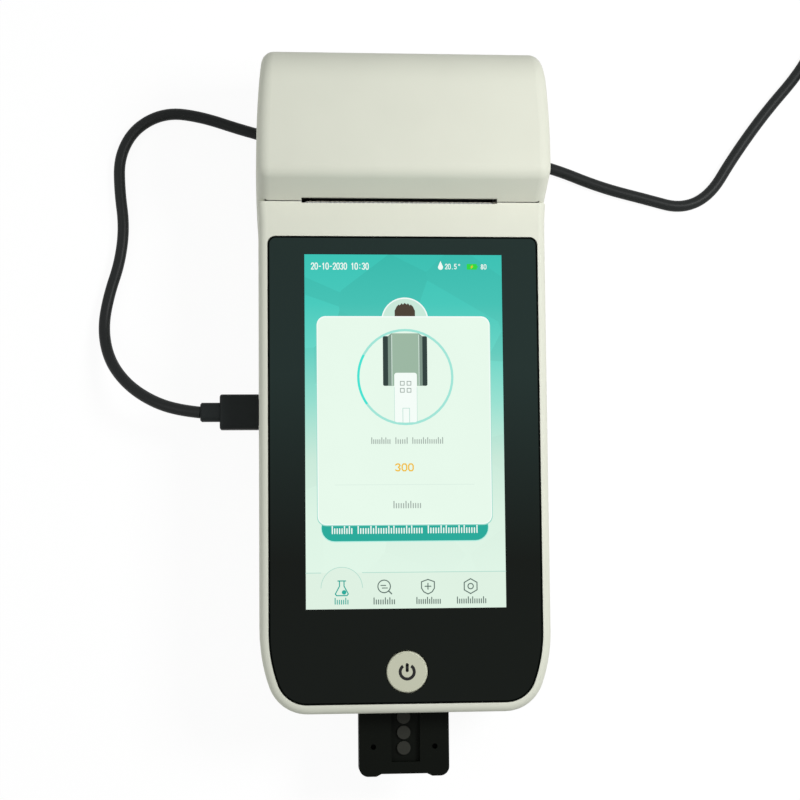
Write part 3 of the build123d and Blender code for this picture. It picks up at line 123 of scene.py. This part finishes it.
# Hinge pins, screws and feet: turned and headed steel, plated, and four moulded rubber pads.
# The pins sit in the lugs of the back case, and the long screws pull the two halves together.
def brushed(name, colour, roughness):
    """Bare metal with fine lines drawn along X: the noise is stretched 25 times that way."""
    material, tree, shader, place = start_material(name, roughness, 1.0)
    stretch = tree.nodes.new("ShaderNodeMapping")
    stretch.inputs["Scale"].default_value = (0.04, 1.0, 1.0)
    tree.links.new(place, stretch.inputs["Vector"])
    lines = add_noise(tree, stretch.outputs["Vector"], 3000.0, 2.0)
    add_ramp(tree, lines, shader.inputs["Base Color"],
             [(0.3, np.array(colour) * 0.85), (0.7, colour)])
    add_bump(tree, shader, lines, 0.00002)
    return material


steel = brushed("plated_steel", srgb(196, 198, 200), 0.32)
rubber = plastic("rubber_black", srgb(20, 20, 20), 0.75, grain=0.00001)
dress(steel, "cover_hinge_pins", "case_screws", "inner_screws")
dress(rubber, "rubber_feet")


# Front glass: one pane, printed black on its back and laid in the rim of the front case. Its
# colour is painted from near black at the power button's end to a dim green at the far end: a
# painted reflection of the room. Along its edge a black band half a millimetre wide is painted:
# the painted shade of the narrow gap between the glass and the case rim.
MM = 0.001


def add_run(tree, place, low, high):
    """0 to 1 as the piece's Y goes from low to high, in millimetres."""
    split = tree.nodes.new("ShaderNodeSeparateXYZ")
    tree.links.new(place, split.inputs["Vector"])
    run = tree.nodes.new("ShaderNodeMapRange")
    run.inputs["From Min"].default_value = low * MM
    run.inputs["From Max"].default_value = high * MM
    tree.links.new(split.outputs["Y"], run.inputs["Value"])
    return run.outputs["Result"]


def lay_flat(name, faces, material, body="base"):
    """Flat outlines in millimetres as one mesh, each a (height, outline) pair.

    An outline runs anticlockwise when the sum of x_n y_n+1 - x_n+1 y_n is positive; one that
    doesn't is reversed, so that every face looks up."""
    outlines = []
    for height, outline in faces:
        x, y = np.asarray(outline, float).T
        turned = 1 if np.sum(x * np.roll(y, -1) - np.roll(x, -1) * y) > 0 else -1
        outlines.append(np.column_stack((x, y, np.full(len(x), height)))[::turned] * MM)
    starts = np.cumsum([0] + [len(outline) for outline in outlines])
    mesh = bpy.data.meshes.new(name)
    mesh.from_pydata(np.vstack(outlines).tolist(), [],
                     [list(range(start, end)) for start, end in zip(starts, starts[1:])])
    mesh.materials.append(material)
    piece = bpy.data.objects.new(name, mesh)
    bpy.context.collection.objects.link(piece)
    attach(piece, body)


def level(rise, shapes):
    """Every shape at one height over the glass."""
    return [(glass_top + rise, shape) for shape in shapes]


def outline_round(mesh, height, hole, hole_reach, middle):
    """The mesh's points at one height, in order of their angle round the middle.

    Points nearer than hole_reach to the hole's centre are left out."""
    points = np.empty(3 * len(mesh.vertices))
    mesh.vertices.foreach_get("co", points)
    points = points.reshape(-1, 3) / MM
    flat = np.unique(np.round(points[points[:, 2] > height - 0.01][:, :2], 3), axis=0)
    flat = flat[np.hypot(*(flat - hole).T) > hole_reach]
    return flat[np.argsort(np.arctan2(*(flat - middle).T[::-1]))]


def inset_band(outline, width):
    """Quads between a closed outline and the same one moved inwards by the width.

    With (a, b) from the point before to the point after, inwards is (-b, a) over its length."""
    along = np.roll(outline, -1, axis=0) - np.roll(outline, 1, axis=0)
    inwards = np.column_stack((-along[:, 1], along[:, 0])) / np.hypot(*along.T)[:, None]
    inside = outline + width * inwards
    return np.stack((outline, np.roll(outline, -1, axis=0),
                     np.roll(inside, -1, axis=0), inside), axis=1)


glass, glass_tree, glass_shader, glass_place = start_material("front_glass", 0.05)
glass_shader.inputs["Specular IOR Level"].default_value = 0.12
# Painted reflection: the base colour runs from near black at low Y to a dim green at high Y.
add_ramp(glass_tree, add_run(glass_tree, glass_place, -90.0, 55.0),
         glass_shader.inputs["Base Color"], [(0.3, srgb(5, 12, 6)), (0.7, srgb(28, 44, 41))])
dress(glass, "glass_panel")
glass_top = 42.0
button_middle = (0.0, -80.45)
glass_outline = outline_round(nodes["glass_panel"].data, glass_top, button_middle,
                              hole_reach=10.0, middle=(0.0, -18.0))
# Painted shade: a black band half a millimetre wide inside the glass's outline stands for the
# shaded gap at the case rim.
painted_gap_shade = plastic("glass_painted_gap_shade", srgb(2, 4, 3), 0.3, gloss=0.02)
lay_flat("glass_edge_line", level(0.01, inset_band(glass_outline, width=0.5)), painted_gap_shade)


# Screen: a lit panel 62.1 by 110.4 mm, bonded under the glass and seen through it. Teal above
# fades to pale green, and large faint facets show in the teal. Its drawing lies on the glass in
# layers a few hundredths of a millimetre apart.
def show(name, faces, material):
    """One drawn piece of the screen."""
    lay_flat(name, faces, material)


def start_light(name):
    """A material of the lit screen, dark by itself, with a little reflection on it."""
    material, tree, shader, place = start_material(name, 0.12)
    shader.inputs["Base Color"].default_value = (0.01, 0.01, 0.01, 1)
    shader.inputs["Specular IOR Level"].default_value = 0.09
    shader.inputs["Emission Strength"].default_value = 1.0
    return material, tree, shader, place


dark_plastic = plastic("dark_plastic", srgb(34, 35, 36), 0.5, grain=0.000008)
dress(dark_plastic, "display_module")
screen_low, screen_high, screen_half = -61.05, 49.35, 31.05
glow, glow_tree, glow_shader, glow_place = start_light("screen_glow")
glow_run = add_run(glow_tree, glow_place, screen_low, screen_high)
glow_colour = add_ramp(glow_tree, glow_run, None, [
    (0.0, srgb(218, 238, 224)), (0.25, srgb(216, 238, 223)), (0.42, srgb(200, 233, 217)),
    (0.58, srgb(150, 224, 208)), (0.72, srgb(102, 214, 199)), (0.86, srgb(66, 204, 190)),
    (1.0, srgb(52, 200, 186))])
facets = glow_tree.nodes.new("ShaderNodeTexVoronoi")
facets.inputs["Scale"].default_value = 48.0
glow_tree.links.new(glow_place, facets.inputs["Vector"])
facet_grey = glow_tree.nodes.new("ShaderNodeRGBToBW")
glow_tree.links.new(facets.outputs["Color"], facet_grey.inputs["Color"])
facet_fade = glow_tree.nodes.new("ShaderNodeMath")
facet_fade.operation = "MULTIPLY"
glow_tree.links.new(facet_grey.outputs["Val"], facet_fade.inputs[0])
glow_tree.links.new(glow_run, facet_fade.inputs[1])
facet_shade = glow_tree.nodes.new("ShaderNodeMapRange")
facet_shade.inputs["To Min"].default_value = 1.07
facet_shade.inputs["To Max"].default_value = 0.74
glow_tree.links.new(facet_fade.outputs["Value"], facet_shade.inputs["Value"])
glow_mix = glow_tree.nodes.new("ShaderNodeVectorMath")
glow_mix.operation = "MULTIPLY"
glow_tree.links.new(glow_colour, glow_mix.inputs[0])
glow_tree.links.new(facet_shade.outputs["Result"], glow_mix.inputs[1])
glow_tree.links.new(glow_mix.outputs["Vector"], glow_shader.inputs["Emission Color"])
show("screen_field", level(0.02, [[(-screen_half, screen_low), (screen_half, screen_low),
                                   (screen_half, screen_high), (-screen_half, screen_high)]]),
     glow)


# Status line: date and time, a drop with a temperature, a battery and its charge, all drawn in
# plain strokes along the top of the screen.
def arc(x, y, radius, start, end, count=12):
    """Points at x + r cos a, y + r sin a, for angles that run from start to end in degrees."""
    angle = np.radians(np.linspace(start, end, count + 1))
    return np.column_stack((x + radius * np.cos(angle), y + radius * np.sin(angle)))


def rounded(left, low, right, high, radius):
    """A rectangle whose four corners are quarter arcs of one radius."""
    return np.vstack((arc(right - radius, high - radius, radius, 0, 90, 6),
                      arc(left + radius, high - radius, radius, 90, 180, 6),
                      arc(left + radius, low + radius, radius, 180, 270, 6),
                      arc(right - radius, low + radius, radius, 270, 360, 6)))


def stroke(points, width):
    """A line of constant width: each run is moved half the width to both sides, with round ends.

    The side of a run (a, b) is (-b, a) over its length."""
    points = np.asarray(points, float)
    run = np.diff(points, axis=0)
    side = np.column_stack((-run[:, 1], run[:, 0])) * (width / 2 / np.hypot(*run.T))[:, None]
    quads = np.stack((points[:-1] + side, points[:-1] - side,
                      points[1:] - side, points[1:] + side), axis=1)
    return list(quads) + list(points[:, None] + arc(0, 0, width / 2, 0, 330, 11)[None])


def ring(x, y, radius, width, start=0, end=360, count=48):
    """A band between two circles round one centre, cut into quads at equal angles."""
    outside = arc(x, y, radius, start, end, count)
    inside = arc(x, y, radius - width, start, end, count)
    return list(np.stack((outside[:-1], outside[1:], inside[1:], inside[:-1]), axis=1))


def lit(name, colour):
    """A lit area of the screen in one colour, with faint shades in it."""
    material, tree, shader, place = start_light(name)
    shades = [np.minimum(np.array(colour) * part, 1.0) for part in (0.97, 1.02)]
    add_ramp(tree, add_noise(tree, place, 40.0), shader.inputs["Emission Color"],
             [(0.0, shades[0]), (1.0, shades[1])])
    return material


DIGITS = {
    "0": [[(0.5, 0), (1.5, 0), (2, 0.7), (2, 2.3), (1.5, 3), (0.5, 3), (0, 2.3), (0, 0.7),
           (0.5, 0)]],
    "1": [[(0.4, 2.4), (1.1, 3), (1.1, 0)]],
    "2": [[(0, 2.3), (0.5, 3), (1.5, 3), (2, 2.4), (1.8, 1.7), (0, 0), (2, 0)]],
    "3": [[(0, 2.6), (0.6, 3), (1.5, 3), (2, 2.3), (1.2, 1.6), (2, 0.8), (1.5, 0), (0.6, 0),
           (0, 0.4)]],
    "5": [[(1.9, 3), (0.3, 3), (0.1, 1.7), (1.2, 1.9), (2, 1.1), (1.6, 0.2), (0.8, 0), (0, 0.4)]],
    "8": [[(1, 1.6), (0.2, 2.3), (0.6, 3), (1.4, 3), (1.8, 2.3), (1, 1.6), (0, 0.8), (0.5, 0),
           (1.5, 0), (2, 0.8), (1, 1.6)]],
    "-": [[(0.4, 1.4), (1.6, 1.4)]],
    ":": [[(1, 0.5), (1, 0.7)], [(1, 2.1), (1, 2.3)]],
    ".": [[(0.9, 0), (1.1, 0)]],
    " ": [],
}
DIGIT_STEP = 2.9


def digits(text, left, low, height, width, squeeze=1.0):
    """Stroked digits on a grid 2 wide and 3 high, scaled to the height and squeezed."""
    shapes = []
    size = height / 3
    for place, sign in enumerate(text):
        start = (left + place * DIGIT_STEP * size * squeeze, low)
        for line in DIGITS[sign]:
            shapes += stroke(np.array(line) * (size * squeeze, size) + start, width)
    return shapes


white_light = lit("screen_white", srgb(240, 250, 244))
green_light = lit("screen_green", srgb(40, 214, 60))
amber_light = lit("screen_amber", srgb(240, 190, 40))
status = digits("20-10-2030 10:30", -28.9, 44.7, 1.9, 0.3, 0.62)
status += digits("20.5", 13.2, 44.9, 1.5, 0.24, 0.66) + digits("80", 24.5, 44.9, 1.4, 0.24, 0.72)
status += ring(17.6, 46.2, 0.32, 0.18, count=12)
status += [np.vstack((arc(11.7, 45.4, 0.8, -210, 30, 14), [(11.7, 47.4)]))]
show("screen_status", level(0.04, status), white_light)
show("screen_battery", level(0.04, [rounded(20.0, 44.7, 23.2, 46.5, 0.25),
                                    rounded(23.2, 45.3, 23.5, 45.9, 0.05)]), green_light)
show("screen_battery_sign", level(0.045, [[(21.9, 46.3), (21.1, 45.4), (21.5, 45.4),
                                           (21.3, 44.9), (22.1, 45.7), (21.7, 45.7)]]),
     amber_light)


# Round badge behind the card: a pale disc with a plain cap of hair, cut off by the card below,
# and the wide teal button that shows under the card's lower edge.
def word_marks(left, right, low, height):
    """Upright ticks that stand for a word, 0.36 of the height apart, two in seven full height."""
    count = round((right - left) / (0.36 * height))
    shapes = []
    for n in range(count):
        x = left + (right - left) * (n + 0.5) / count
        top = low + height * (1.0 if n * 3 % 7 < 2 else 0.66)
        shapes += stroke([(x, low), (x, top)], 0.17 * height)
    return shapes


rim_light = lit("screen_rim", srgb(244, 252, 247))
teal_light = lit("screen_teal", srgb(24, 168, 152))
badge_x, badge_y = 0.3, 28.4
show("screen_avatar", level(0.04, [arc(badge_x, badge_y, 7.4, 0, 354, 59)]), rim_light)
show("screen_avatar_field", level(0.045, [arc(badge_x, badge_y, 7.0, 0, 354, 59)]),
     lit("screen_avatar_shade", srgb(200, 232, 216)))
show("screen_cap", level(0.05, [[
    (-2.9, 29.0), (3.5, 29.0), (3.5, 31.6), (2.9, 32.9), (2.2, 33.6), (1.9, 33.3), (1.3, 34.0),
    (0.9, 33.6), (0.3, 34.1), (-0.3, 33.6), (-0.7, 34.0), (-1.3, 33.3), (-1.6, 33.6),
    (-2.3, 32.9), (-2.9, 31.6)]]), lit("screen_hair", srgb(70, 58, 44)))
show("screen_pill_rim", level(0.048, [rounded(-26.3, -40.5, 25.9, -31.9, 4.2)]),
     lit("screen_pill_glow", srgb(176, 236, 224)))
show("screen_pill", level(0.05, [rounded(-26.1, -40.2, 25.7, -32.0, 4.0)]), teal_light)
show("screen_pill_words", level(0.055, word_marks(-23.2, -16.4, -37.8, 2.2)
                                + word_marks(-15.2, 5.4, -37.8, 2.2)
                                + word_marks(6.6, 22.6, -37.8, 2.2)), white_light)


# Card: a white sheet with a bright rim. It holds a round picture of the reader taking a cassette
# in, a line of ticks, a count in amber, a thin rule and a second line of ticks. All of it is
# light of the same panel.
grey_light = lit("screen_grey", srgb(158, 172, 164))
shade_light = lit("screen_shade", srgb(176, 218, 204))
faint_light = lit("screen_faint", srgb(214, 233, 222))
show("screen_card_shade", level(0.059, [rounded(-27.5, -35.5, 27.2, 29.6, 2.8)]),
     lit("screen_card_gloom", srgb(150, 216, 200)))
show("screen_card_rim", level(0.062, [rounded(-27.3, -35.2, 27.0, 29.9, 2.7)]), rim_light)
show("screen_card", level(0.065, [rounded(-27.0, -34.9, 26.7, 29.5, 2.5)]),
     lit("screen_card", srgb(230, 248, 234)))
dial = (0.3, 10.8, 15.1, 0.75)
show("screen_ring", level(0.07, ring(*dial)), lit("screen_pale", srgb(158, 228, 214)))
show("screen_ring_bright", level(0.075, ring(*dial, start=152, end=215, count=24)),
     lit("screen_bright", srgb(60, 226, 208)))
show("screen_reader_sides", level(0.08, [rounded(-6.7, 8.0, -4.9, 23.6, 0.5),
                                         rounded(5.5, 8.0, 7.2, 23.6, 0.5)]),
     lit("screen_deep", srgb(38, 58, 54)))
show("screen_reader_body", level(0.085, [[(-5.1, 8.0), (5.7, 8.0), (5.7, 23.6), (4.6, 24.5),
                                          (-4.0, 24.5), (-5.1, 23.6)]]),
     lit("screen_body", srgb(154, 182, 161)))
show("screen_reader_bands", level(0.088, [
    [(-5.1, 8.0), (-3.9, 8.0), (-3.9, 24.4), (-5.1, 23.6)],
    [(4.6, 8.0), (5.7, 8.0), (5.7, 23.6), (4.6, 24.4)]]), lit("screen_band", srgb(124, 148, 134)))
show("screen_reader_lines", level(0.09, stroke([(-3.9, 8.2), (-3.9, 24.0)], 0.22)
                                  + stroke([(4.6, 8.2), (4.6, 24.0)], 0.22)), faint_light)
show("screen_cassette", level(0.1, [rounded(-3.2, -3.4, 3.9, 12.1, 0.8)]), rim_light)
square = np.array([(-0.6, -0.6), (0.6, -0.6), (0.6, 0.6), (-0.6, 0.6), (-0.6, -0.6)])
code = []
for middle in ((-0.7, 8.8), (1.4, 8.8), (-0.7, 6.6), (1.4, 6.6)):
    code += stroke(square + middle, 0.26)
show("screen_code", level(0.11, code), grey_light)
show("screen_cassette_marks", level(0.11, (
    stroke([(-3.2, -3.0), (-3.2, 7.6)], 0.12) + stroke([(3.9, -3.0), (3.9, 7.6)], 0.12)
    + stroke([(-0.6, -3.4), (-0.6, 1.0), (1.5, 1.0), (1.5, -3.4)], 0.18))), shade_light)
show("screen_words", level(0.07, word_marks(-10.7, -4.4, -10.0, 1.8)
                           + word_marks(-3.2, 1.0, -10.0, 1.8)
                           + word_marks(2.1, 12.1, -10.0, 1.8)
                           + word_marks(-4.0, 5.0, -30.0, 2.0)), grey_light)
show("screen_divider", level(0.07, stroke([(-21.9, -22.8), (21.5, -22.8)], 0.14)), faint_light)
show("screen_count", level(0.07, digits("300", -3.0, -18.5, 2.1, 0.42)), amber_light)


# Foot of the screen: a pale band with a raised tab and four line signs, a flask, a lens over
# lines, a shield with a cross and a nut, each with ticks under it.
nav_top = -49.9
nav_light = lit("screen_nav_band", srgb(221, 240, 225))
tab_x, tab_y = -20.0, -54.6
show("screen_nav", level(0.03, [[(-screen_half, screen_low), (screen_half, screen_low),
                                 (screen_half, nav_top), (-screen_half, nav_top)]])
     + level(0.035, [arc(tab_x, tab_y, 6.4, 0, 180, 20)]), nav_light)
show("screen_nav_edge", level(0.032, stroke([(-13.6, nav_top), (screen_half, nav_top)], 0.22)
                              + stroke([(-screen_half, nav_top), (-26.4, nav_top)], 0.22))
     + level(0.038, ring(tab_x, tab_y, 6.5, 0.2, 0, 180)), shade_light)
flask = stroke([(-20.7, -52.5), (-20.7, -54.0), (-22.0, -56.4), (-21.6, -56.9), (-18.4, -56.9),
                (-18.0, -56.4), (-19.3, -54.0), (-19.3, -52.5)], 0.34)
flask += stroke([(-21.2, -52.4), (-18.8, -52.4)], 0.34) + [arc(-19.3, -55.9, 0.7, 0, 340, 17)]
flask += word_marks(-22.4, -17.8, -59.5, 1.8)
show("screen_flask", level(0.05, flask), teal_light)
signs = ring(-6.9, -54.2, 2.1, 0.34) + stroke([(-5.4, -55.7), (-4.6, -56.5)], 0.4)
signs += stroke([(-7.9, -53.9), (-6.4, -53.9)], 0.3) + stroke([(-7.5, -54.7), (-5.9, -54.7)], 0.3)
signs += stroke([(4.7, -52.9), (6.7, -52.2), (8.7, -52.9), (8.7, -54.9), (8.0, -56.0),
                 (6.7, -56.7), (5.4, -56.0), (4.7, -54.9), (4.7, -52.9)], 0.34)
signs += stroke([(5.8, -54.3), (7.6, -54.3)], 0.34) + stroke([(6.7, -53.4), (6.7, -55.2)], 0.34)
signs += stroke(arc(20.0, -54.4, 2.3, 30, 390, 6), 0.34) + ring(20.0, -54.4, 1.0, 0.34)
for left, right in ((-10.4, -3.4), (2.9, 10.8), (15.5, 25.0)):
    signs += word_marks(left, right, -59.6, 1.9)
show("screen_signs", level(0.05, signs), lit("screen_dark", srgb(92, 112, 104)))


# Power button: a moulded cap in the glass's hole, over a small switch on its own board.
# Its sign, a broken ring and a short bar, is printed in black and goes down with the cap.
button_ivory = plastic("button_plastic", srgb(200, 201, 180), 0.42, spread=0.01)
laminate = plastic("board_laminate", srgb(22, 92, 52), 0.35, spread=0.08)
dress(button_ivory, "power_button")
dress(dark_plastic, "tact_switch", "switch_plunger")
dress(laminate, "button_board")
button_ink = plastic("button_ink", srgb(18, 18, 18), 0.4)
sign_width = 0.95
power_sign = ring(*button_middle, 2.65, sign_width, start=125, end=415, count=40)
power_sign += stroke([(0.0, -80.1), (0.0, -78.25)], sign_width)
lay_flat("power_sign", level(0.215, power_sign), button_ink, "button")


# Cassette tray and its drive: a black moulded tray with soft grey pads in its channel, sliding
# in a dark guide. A small motor turns a nylon pinion under the rack.
black_plastic = plastic("black_plastic", srgb(9, 12, 8), 0.5, grain=0.000008, gloss=0.05)
pad_rubber = plastic("pad_rubber", srgb(33, 34, 28), 0.6)
nylon = plastic("gear_nylon", srgb(226, 226, 218), 0.4)
dress(black_plastic, "cassette_tray")
dress(pad_rubber, "tray_pads")
dress(dark_plastic, "tray_guide")
dress(steel, "tray_motor")
dress(nylon, "tray_pinion")


# Reader optics: an aluminium block over the tray with a glass lens and a clear lamp, under a
# small sensor board.
aluminium = brushed("drawn_aluminium", srgb(205, 207, 210), 0.38)
dress(aluminium, "optics_block")
dress(plastic("lens_glass", srgb(200, 220, 225), 0.05), "objective_lens")
dress(plastic("lamp_plastic", srgb(220, 235, 240), 0.15), "reader_lamp")
dress(laminate, "sensor_board")


# Printer: a folded steel chassis with a ceramic print head on an aluminium sink and leaf spring.
# The cover carries the rubber platen with its shaft, gear and bronze bushes.
dress(steel, "printer_chassis", "head_spring", "platen_shaft", "idler_axle", "motor_pinion",
      "printer_motor", "tear_bar")
dress(plastic("head_ceramic", srgb(214, 208, 190), 0.25), "print_head")
dress(aluminium, "head_sink")
dress(rubber, "platen_roller")
dress(nylon, "platen_gear", "idler_gear")
dress(plastic("sintered_bronze", srgb(172, 138, 84), 0.45, grain=0.00001, metallic=1.0),
      "platen_bushes")
dress(dark_plastic, "paper_bucket")


# Boards and power: the main board with its chips, the steel charging socket and a foil pouch
# battery in a film wrap.
dress(laminate, "main_board")
dress(plastic("chip_plastic", srgb(24, 24, 25), 0.4), "board_parts")
dress(steel, "usb_socket")
dress(plastic("cell_film", srgb(150, 154, 160), 0.3, grain=0.00002, grain_scale=300.0),
      "battery_pack")


# Charging cable: about a metre of round black cord with a moulded plug on each end. It drops to
# the table, passes under the raised head and runs off to the right, where it is coiled.
moulded = plastic("plug_moulding", srgb(27, 31, 31), 0.5, grain=0.00001, gloss=0.12)
dress(moulded, "plug_grip", "plug_relief", "far_grip")
dress(steel, "plug_contact", "far_contact")
CORD = 3.8
on_table = CORD / 2
relief_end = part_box("plug_relief")[0][0] / MM
far_low, far_high = np.array(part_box("far_grip")) / MM
tail_x = (far_low[0] + far_high[0]) / 2
tail_end = far_high[1]
seen_route = [
    (relief_end, 1.35, 22.4), (-71.5, 2.2, 21.6), (-80.8, 6.0, 17.2),
    (-88.8, 12.2, 11.4), (-94.4, 20.6, 6.2), (-96.4, 31.0, 2.9),
    (-94.6, 42.0, on_table), (-91.0, 53.0, on_table), (-89.6, 65.0, on_table),
    (-91.2, 77.0, on_table), (-91.4, 88.6, on_table), (-86.2, 98.4, on_table),
    (-76.0, 103.8, on_table), (-64.0, 102.4, on_table), (-50.0, 97.8, on_table),
    (-32.0, 93.2, on_table), (-10.0, 91.0, on_table), (14.0, 91.2, on_table),
    (36.0, 90.0, on_table), (54.0, 86.2, on_table), (71.0, 79.4, on_table),
    (87.0, 75.4, on_table), (99.0, 72.2, on_table), (109.2, 77.0, on_table),
    (117.2, 90.0, on_table), (129.0, 106.0, on_table), (142.0, 120.6, on_table),
]


def coil_route(centre_x, centre_y, outer, inner, start, turns, steps):
    """Two flat spirals, one on the other, each a cord's width wider or narrower every turn t.

    The radius is outer - t CORD for two turns, then inner + (t - 2) CORD. The height goes up by
    one cord from t = 1.9 to 2.2, and the angle is start - 2 pi t."""
    turn = np.arange(int(turns * steps) + 1) / steps
    radius = np.where(turn < 2, outer - turn * CORD, inner + (turn - 2) * CORD)
    height = on_table + CORD * np.clip((turn - 1.9) / 0.3, 0.0, 1.0)
    angle = np.radians(start) - 2 * np.pi * turn
    return np.column_stack((centre_x + radius * np.cos(angle),
                            centre_y + radius * np.sin(angle), height))


route = np.vstack((
    seen_route,
    coil_route(centre_x=171.0, centre_y=122.0, outer=24.8, inner=17.2, start=150,
               turns=4.4167, steps=16),
    [(tail_x + 1.0, 114.0, 5.2), (tail_x, tail_end + 6.0, 4.2), (tail_x, tail_end, 4.0)],
)) * MM
curve = bpy.data.curves.new("charging_cable", "CURVE")
curve.dimensions = "3D"
curve.bevel_depth = CORD / 2 * MM
curve.bevel_resolution = 5
curve.resolution_u = 8
curve.use_fill_caps = True
spline = curve.splines.new("NURBS")
spline.points.add(len(route) - 1)
spline.points.foreach_set("co", np.column_stack((route, np.ones(len(route)))).ravel())
spline.order_u = 3
spline.use_endpoint_u = True
curve.materials.append(plastic("cord_jacket", srgb(34, 36, 36), 0.42, grain=0.000006,
                               gloss=0.12))
charging_cable = bpy.data.objects.new("charging_cable", curve)
bpy.context.collection.objects.link(charging_cable)
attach(charging_cable, "base")
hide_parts("cable", "cable_coil", "cable_tail")


# Table: a plain white sheet, a tenth of a millimetre under the feet. The eye, gloss and glass
# see it almost white with a faint shadow, and the object gets a pale matt sheet's bounce.
def eye_rays(tree):
    """1 for rays that come from the camera, off gloss or through glass, and 0 for the rest."""
    path = tree.nodes.new("ShaderNodeLightPath")
    total = path.outputs["Is Camera Ray"]
    for kind in ("Is Glossy Ray", "Is Transmission Ray"):
        larger = tree.nodes.new("ShaderNodeMath")
        larger.operation = "MAXIMUM"
        tree.links.new(total, larger.inputs[0])
        tree.links.new(path.outputs[kind], larger.inputs[1])
        total = larger.outputs["Value"]
    return total


table_material = bpy.data.materials.new("table_white")
table_material.use_nodes = True
table_tree = table_material.node_tree
bounce = table_tree.nodes["Principled BSDF"]
bounce.inputs["Base Color"].default_value = (0.8, 0.8, 0.79, 1)
bounce.inputs["Roughness"].default_value = 0.9
white = table_tree.nodes.new("ShaderNodeEmission")
white.inputs["Strength"].default_value = 0.93
shadow = table_tree.nodes.new("ShaderNodeBsdfDiffuse")
shadow.inputs["Color"].default_value = (0.09, 0.09, 0.09, 1)
seen = table_tree.nodes.new("ShaderNodeAddShader")
table_tree.links.new(white.outputs["Emission"], seen.inputs[0])
table_tree.links.new(shadow.outputs["BSDF"], seen.inputs[1])
table_mix = table_tree.nodes.new("ShaderNodeMixShader")
table_tree.links.new(eye_rays(table_tree), table_mix.inputs["Fac"])
table_tree.links.new(bounce.outputs["BSDF"], table_mix.inputs[1])
table_tree.links.new(seen.outputs["Shader"], table_mix.inputs[2])
table_tree.links.new(table_mix.outputs["Shader"],
                     table_tree.nodes["Material Output"].inputs["Surface"])
table_mesh = bpy.data.meshes.new("table")
half, table_top = 3.0, -0.0001
table_mesh.from_pydata([(-half, -half, table_top), (half, -half, table_top),
                        (half, half, table_top), (-half, half, table_top)], [], [(0, 1, 2, 3)])
table_mesh.materials.append(table_material)
table = bpy.data.objects.new("table", table_mesh)
bpy.context.collection.objects.link(table)


# Light: a soft box near the right side, so that side is the brighter one, a weak wide fill from
# the left and an even dim room. Past the table the eye, gloss and glass meet plain white.
def add_light(name, place, target, size, power):
    """A square softbox that faces its target."""
    data = bpy.data.lights.new(name, "AREA")
    data.size = size
    data.energy = power
    light = bpy.data.objects.new(name, data)
    light.location = place
    light.rotation_euler = (Vector(target) - Vector(place)).to_track_quat("-Z", "Y").to_euler()
    bpy.context.collection.objects.link(light)


add_light("key", (0.28, 0.08, 0.42), (0, 0, 0.03), 0.15, 1.6)
add_light("fill", (-0.9, -0.1, 1.0), (0, 0, 0.03), 0.9, 3.9)
room = bpy.data.worlds.new("room")
bpy.context.scene.world = room
room.use_nodes = True
room_tree = room.node_tree
dim = room_tree.nodes["Background"]
dim.inputs["Color"].default_value = (0.95, 1.0, 0.97, 1)
dim.inputs["Strength"].default_value = 0.27
plain = room_tree.nodes.new("ShaderNodeBackground")
plain.inputs["Color"].default_value = (1, 1, 1, 1)
room_mix = room_tree.nodes.new("ShaderNodeMixShader")
room_tree.links.new(eye_rays(room_tree), room_mix.inputs["Fac"])
room_tree.links.new(dim.outputs["Background"], room_mix.inputs[1])
room_tree.links.new(plain.outputs["Background"], room_mix.inputs[2])
room_tree.links.new(room_mix.outputs["Shader"], room_tree.nodes["World Output"].inputs["Surface"])


# Viewpoint: the instrument lies on its back and is seen from nearly straight above,
# a little from the left and from the tray end.
camera_data = bpy.data.cameras.new("camera")
camera_data.sensor_width = 36.0
camera_data.lens = 81.0
camera_data.clip_start = 0.01
camera = bpy.data.objects.new("camera", camera_data)
bpy.context.collection.objects.link(camera)
turn = Matrix((
    (0.99652, 0.00213, -0.08331),
    (-0.00907, 0.99652, -0.08292),
    (0.08284, 0.08338, 0.99307),
)).to_4x4()
camera.matrix_world = Matrix.Translation((-0.048220, -0.042969, 0.599465)) @ turn
bpy.context.scene.camera = camera
bpy.context.scene.view_settings.view_transform = "Standard"
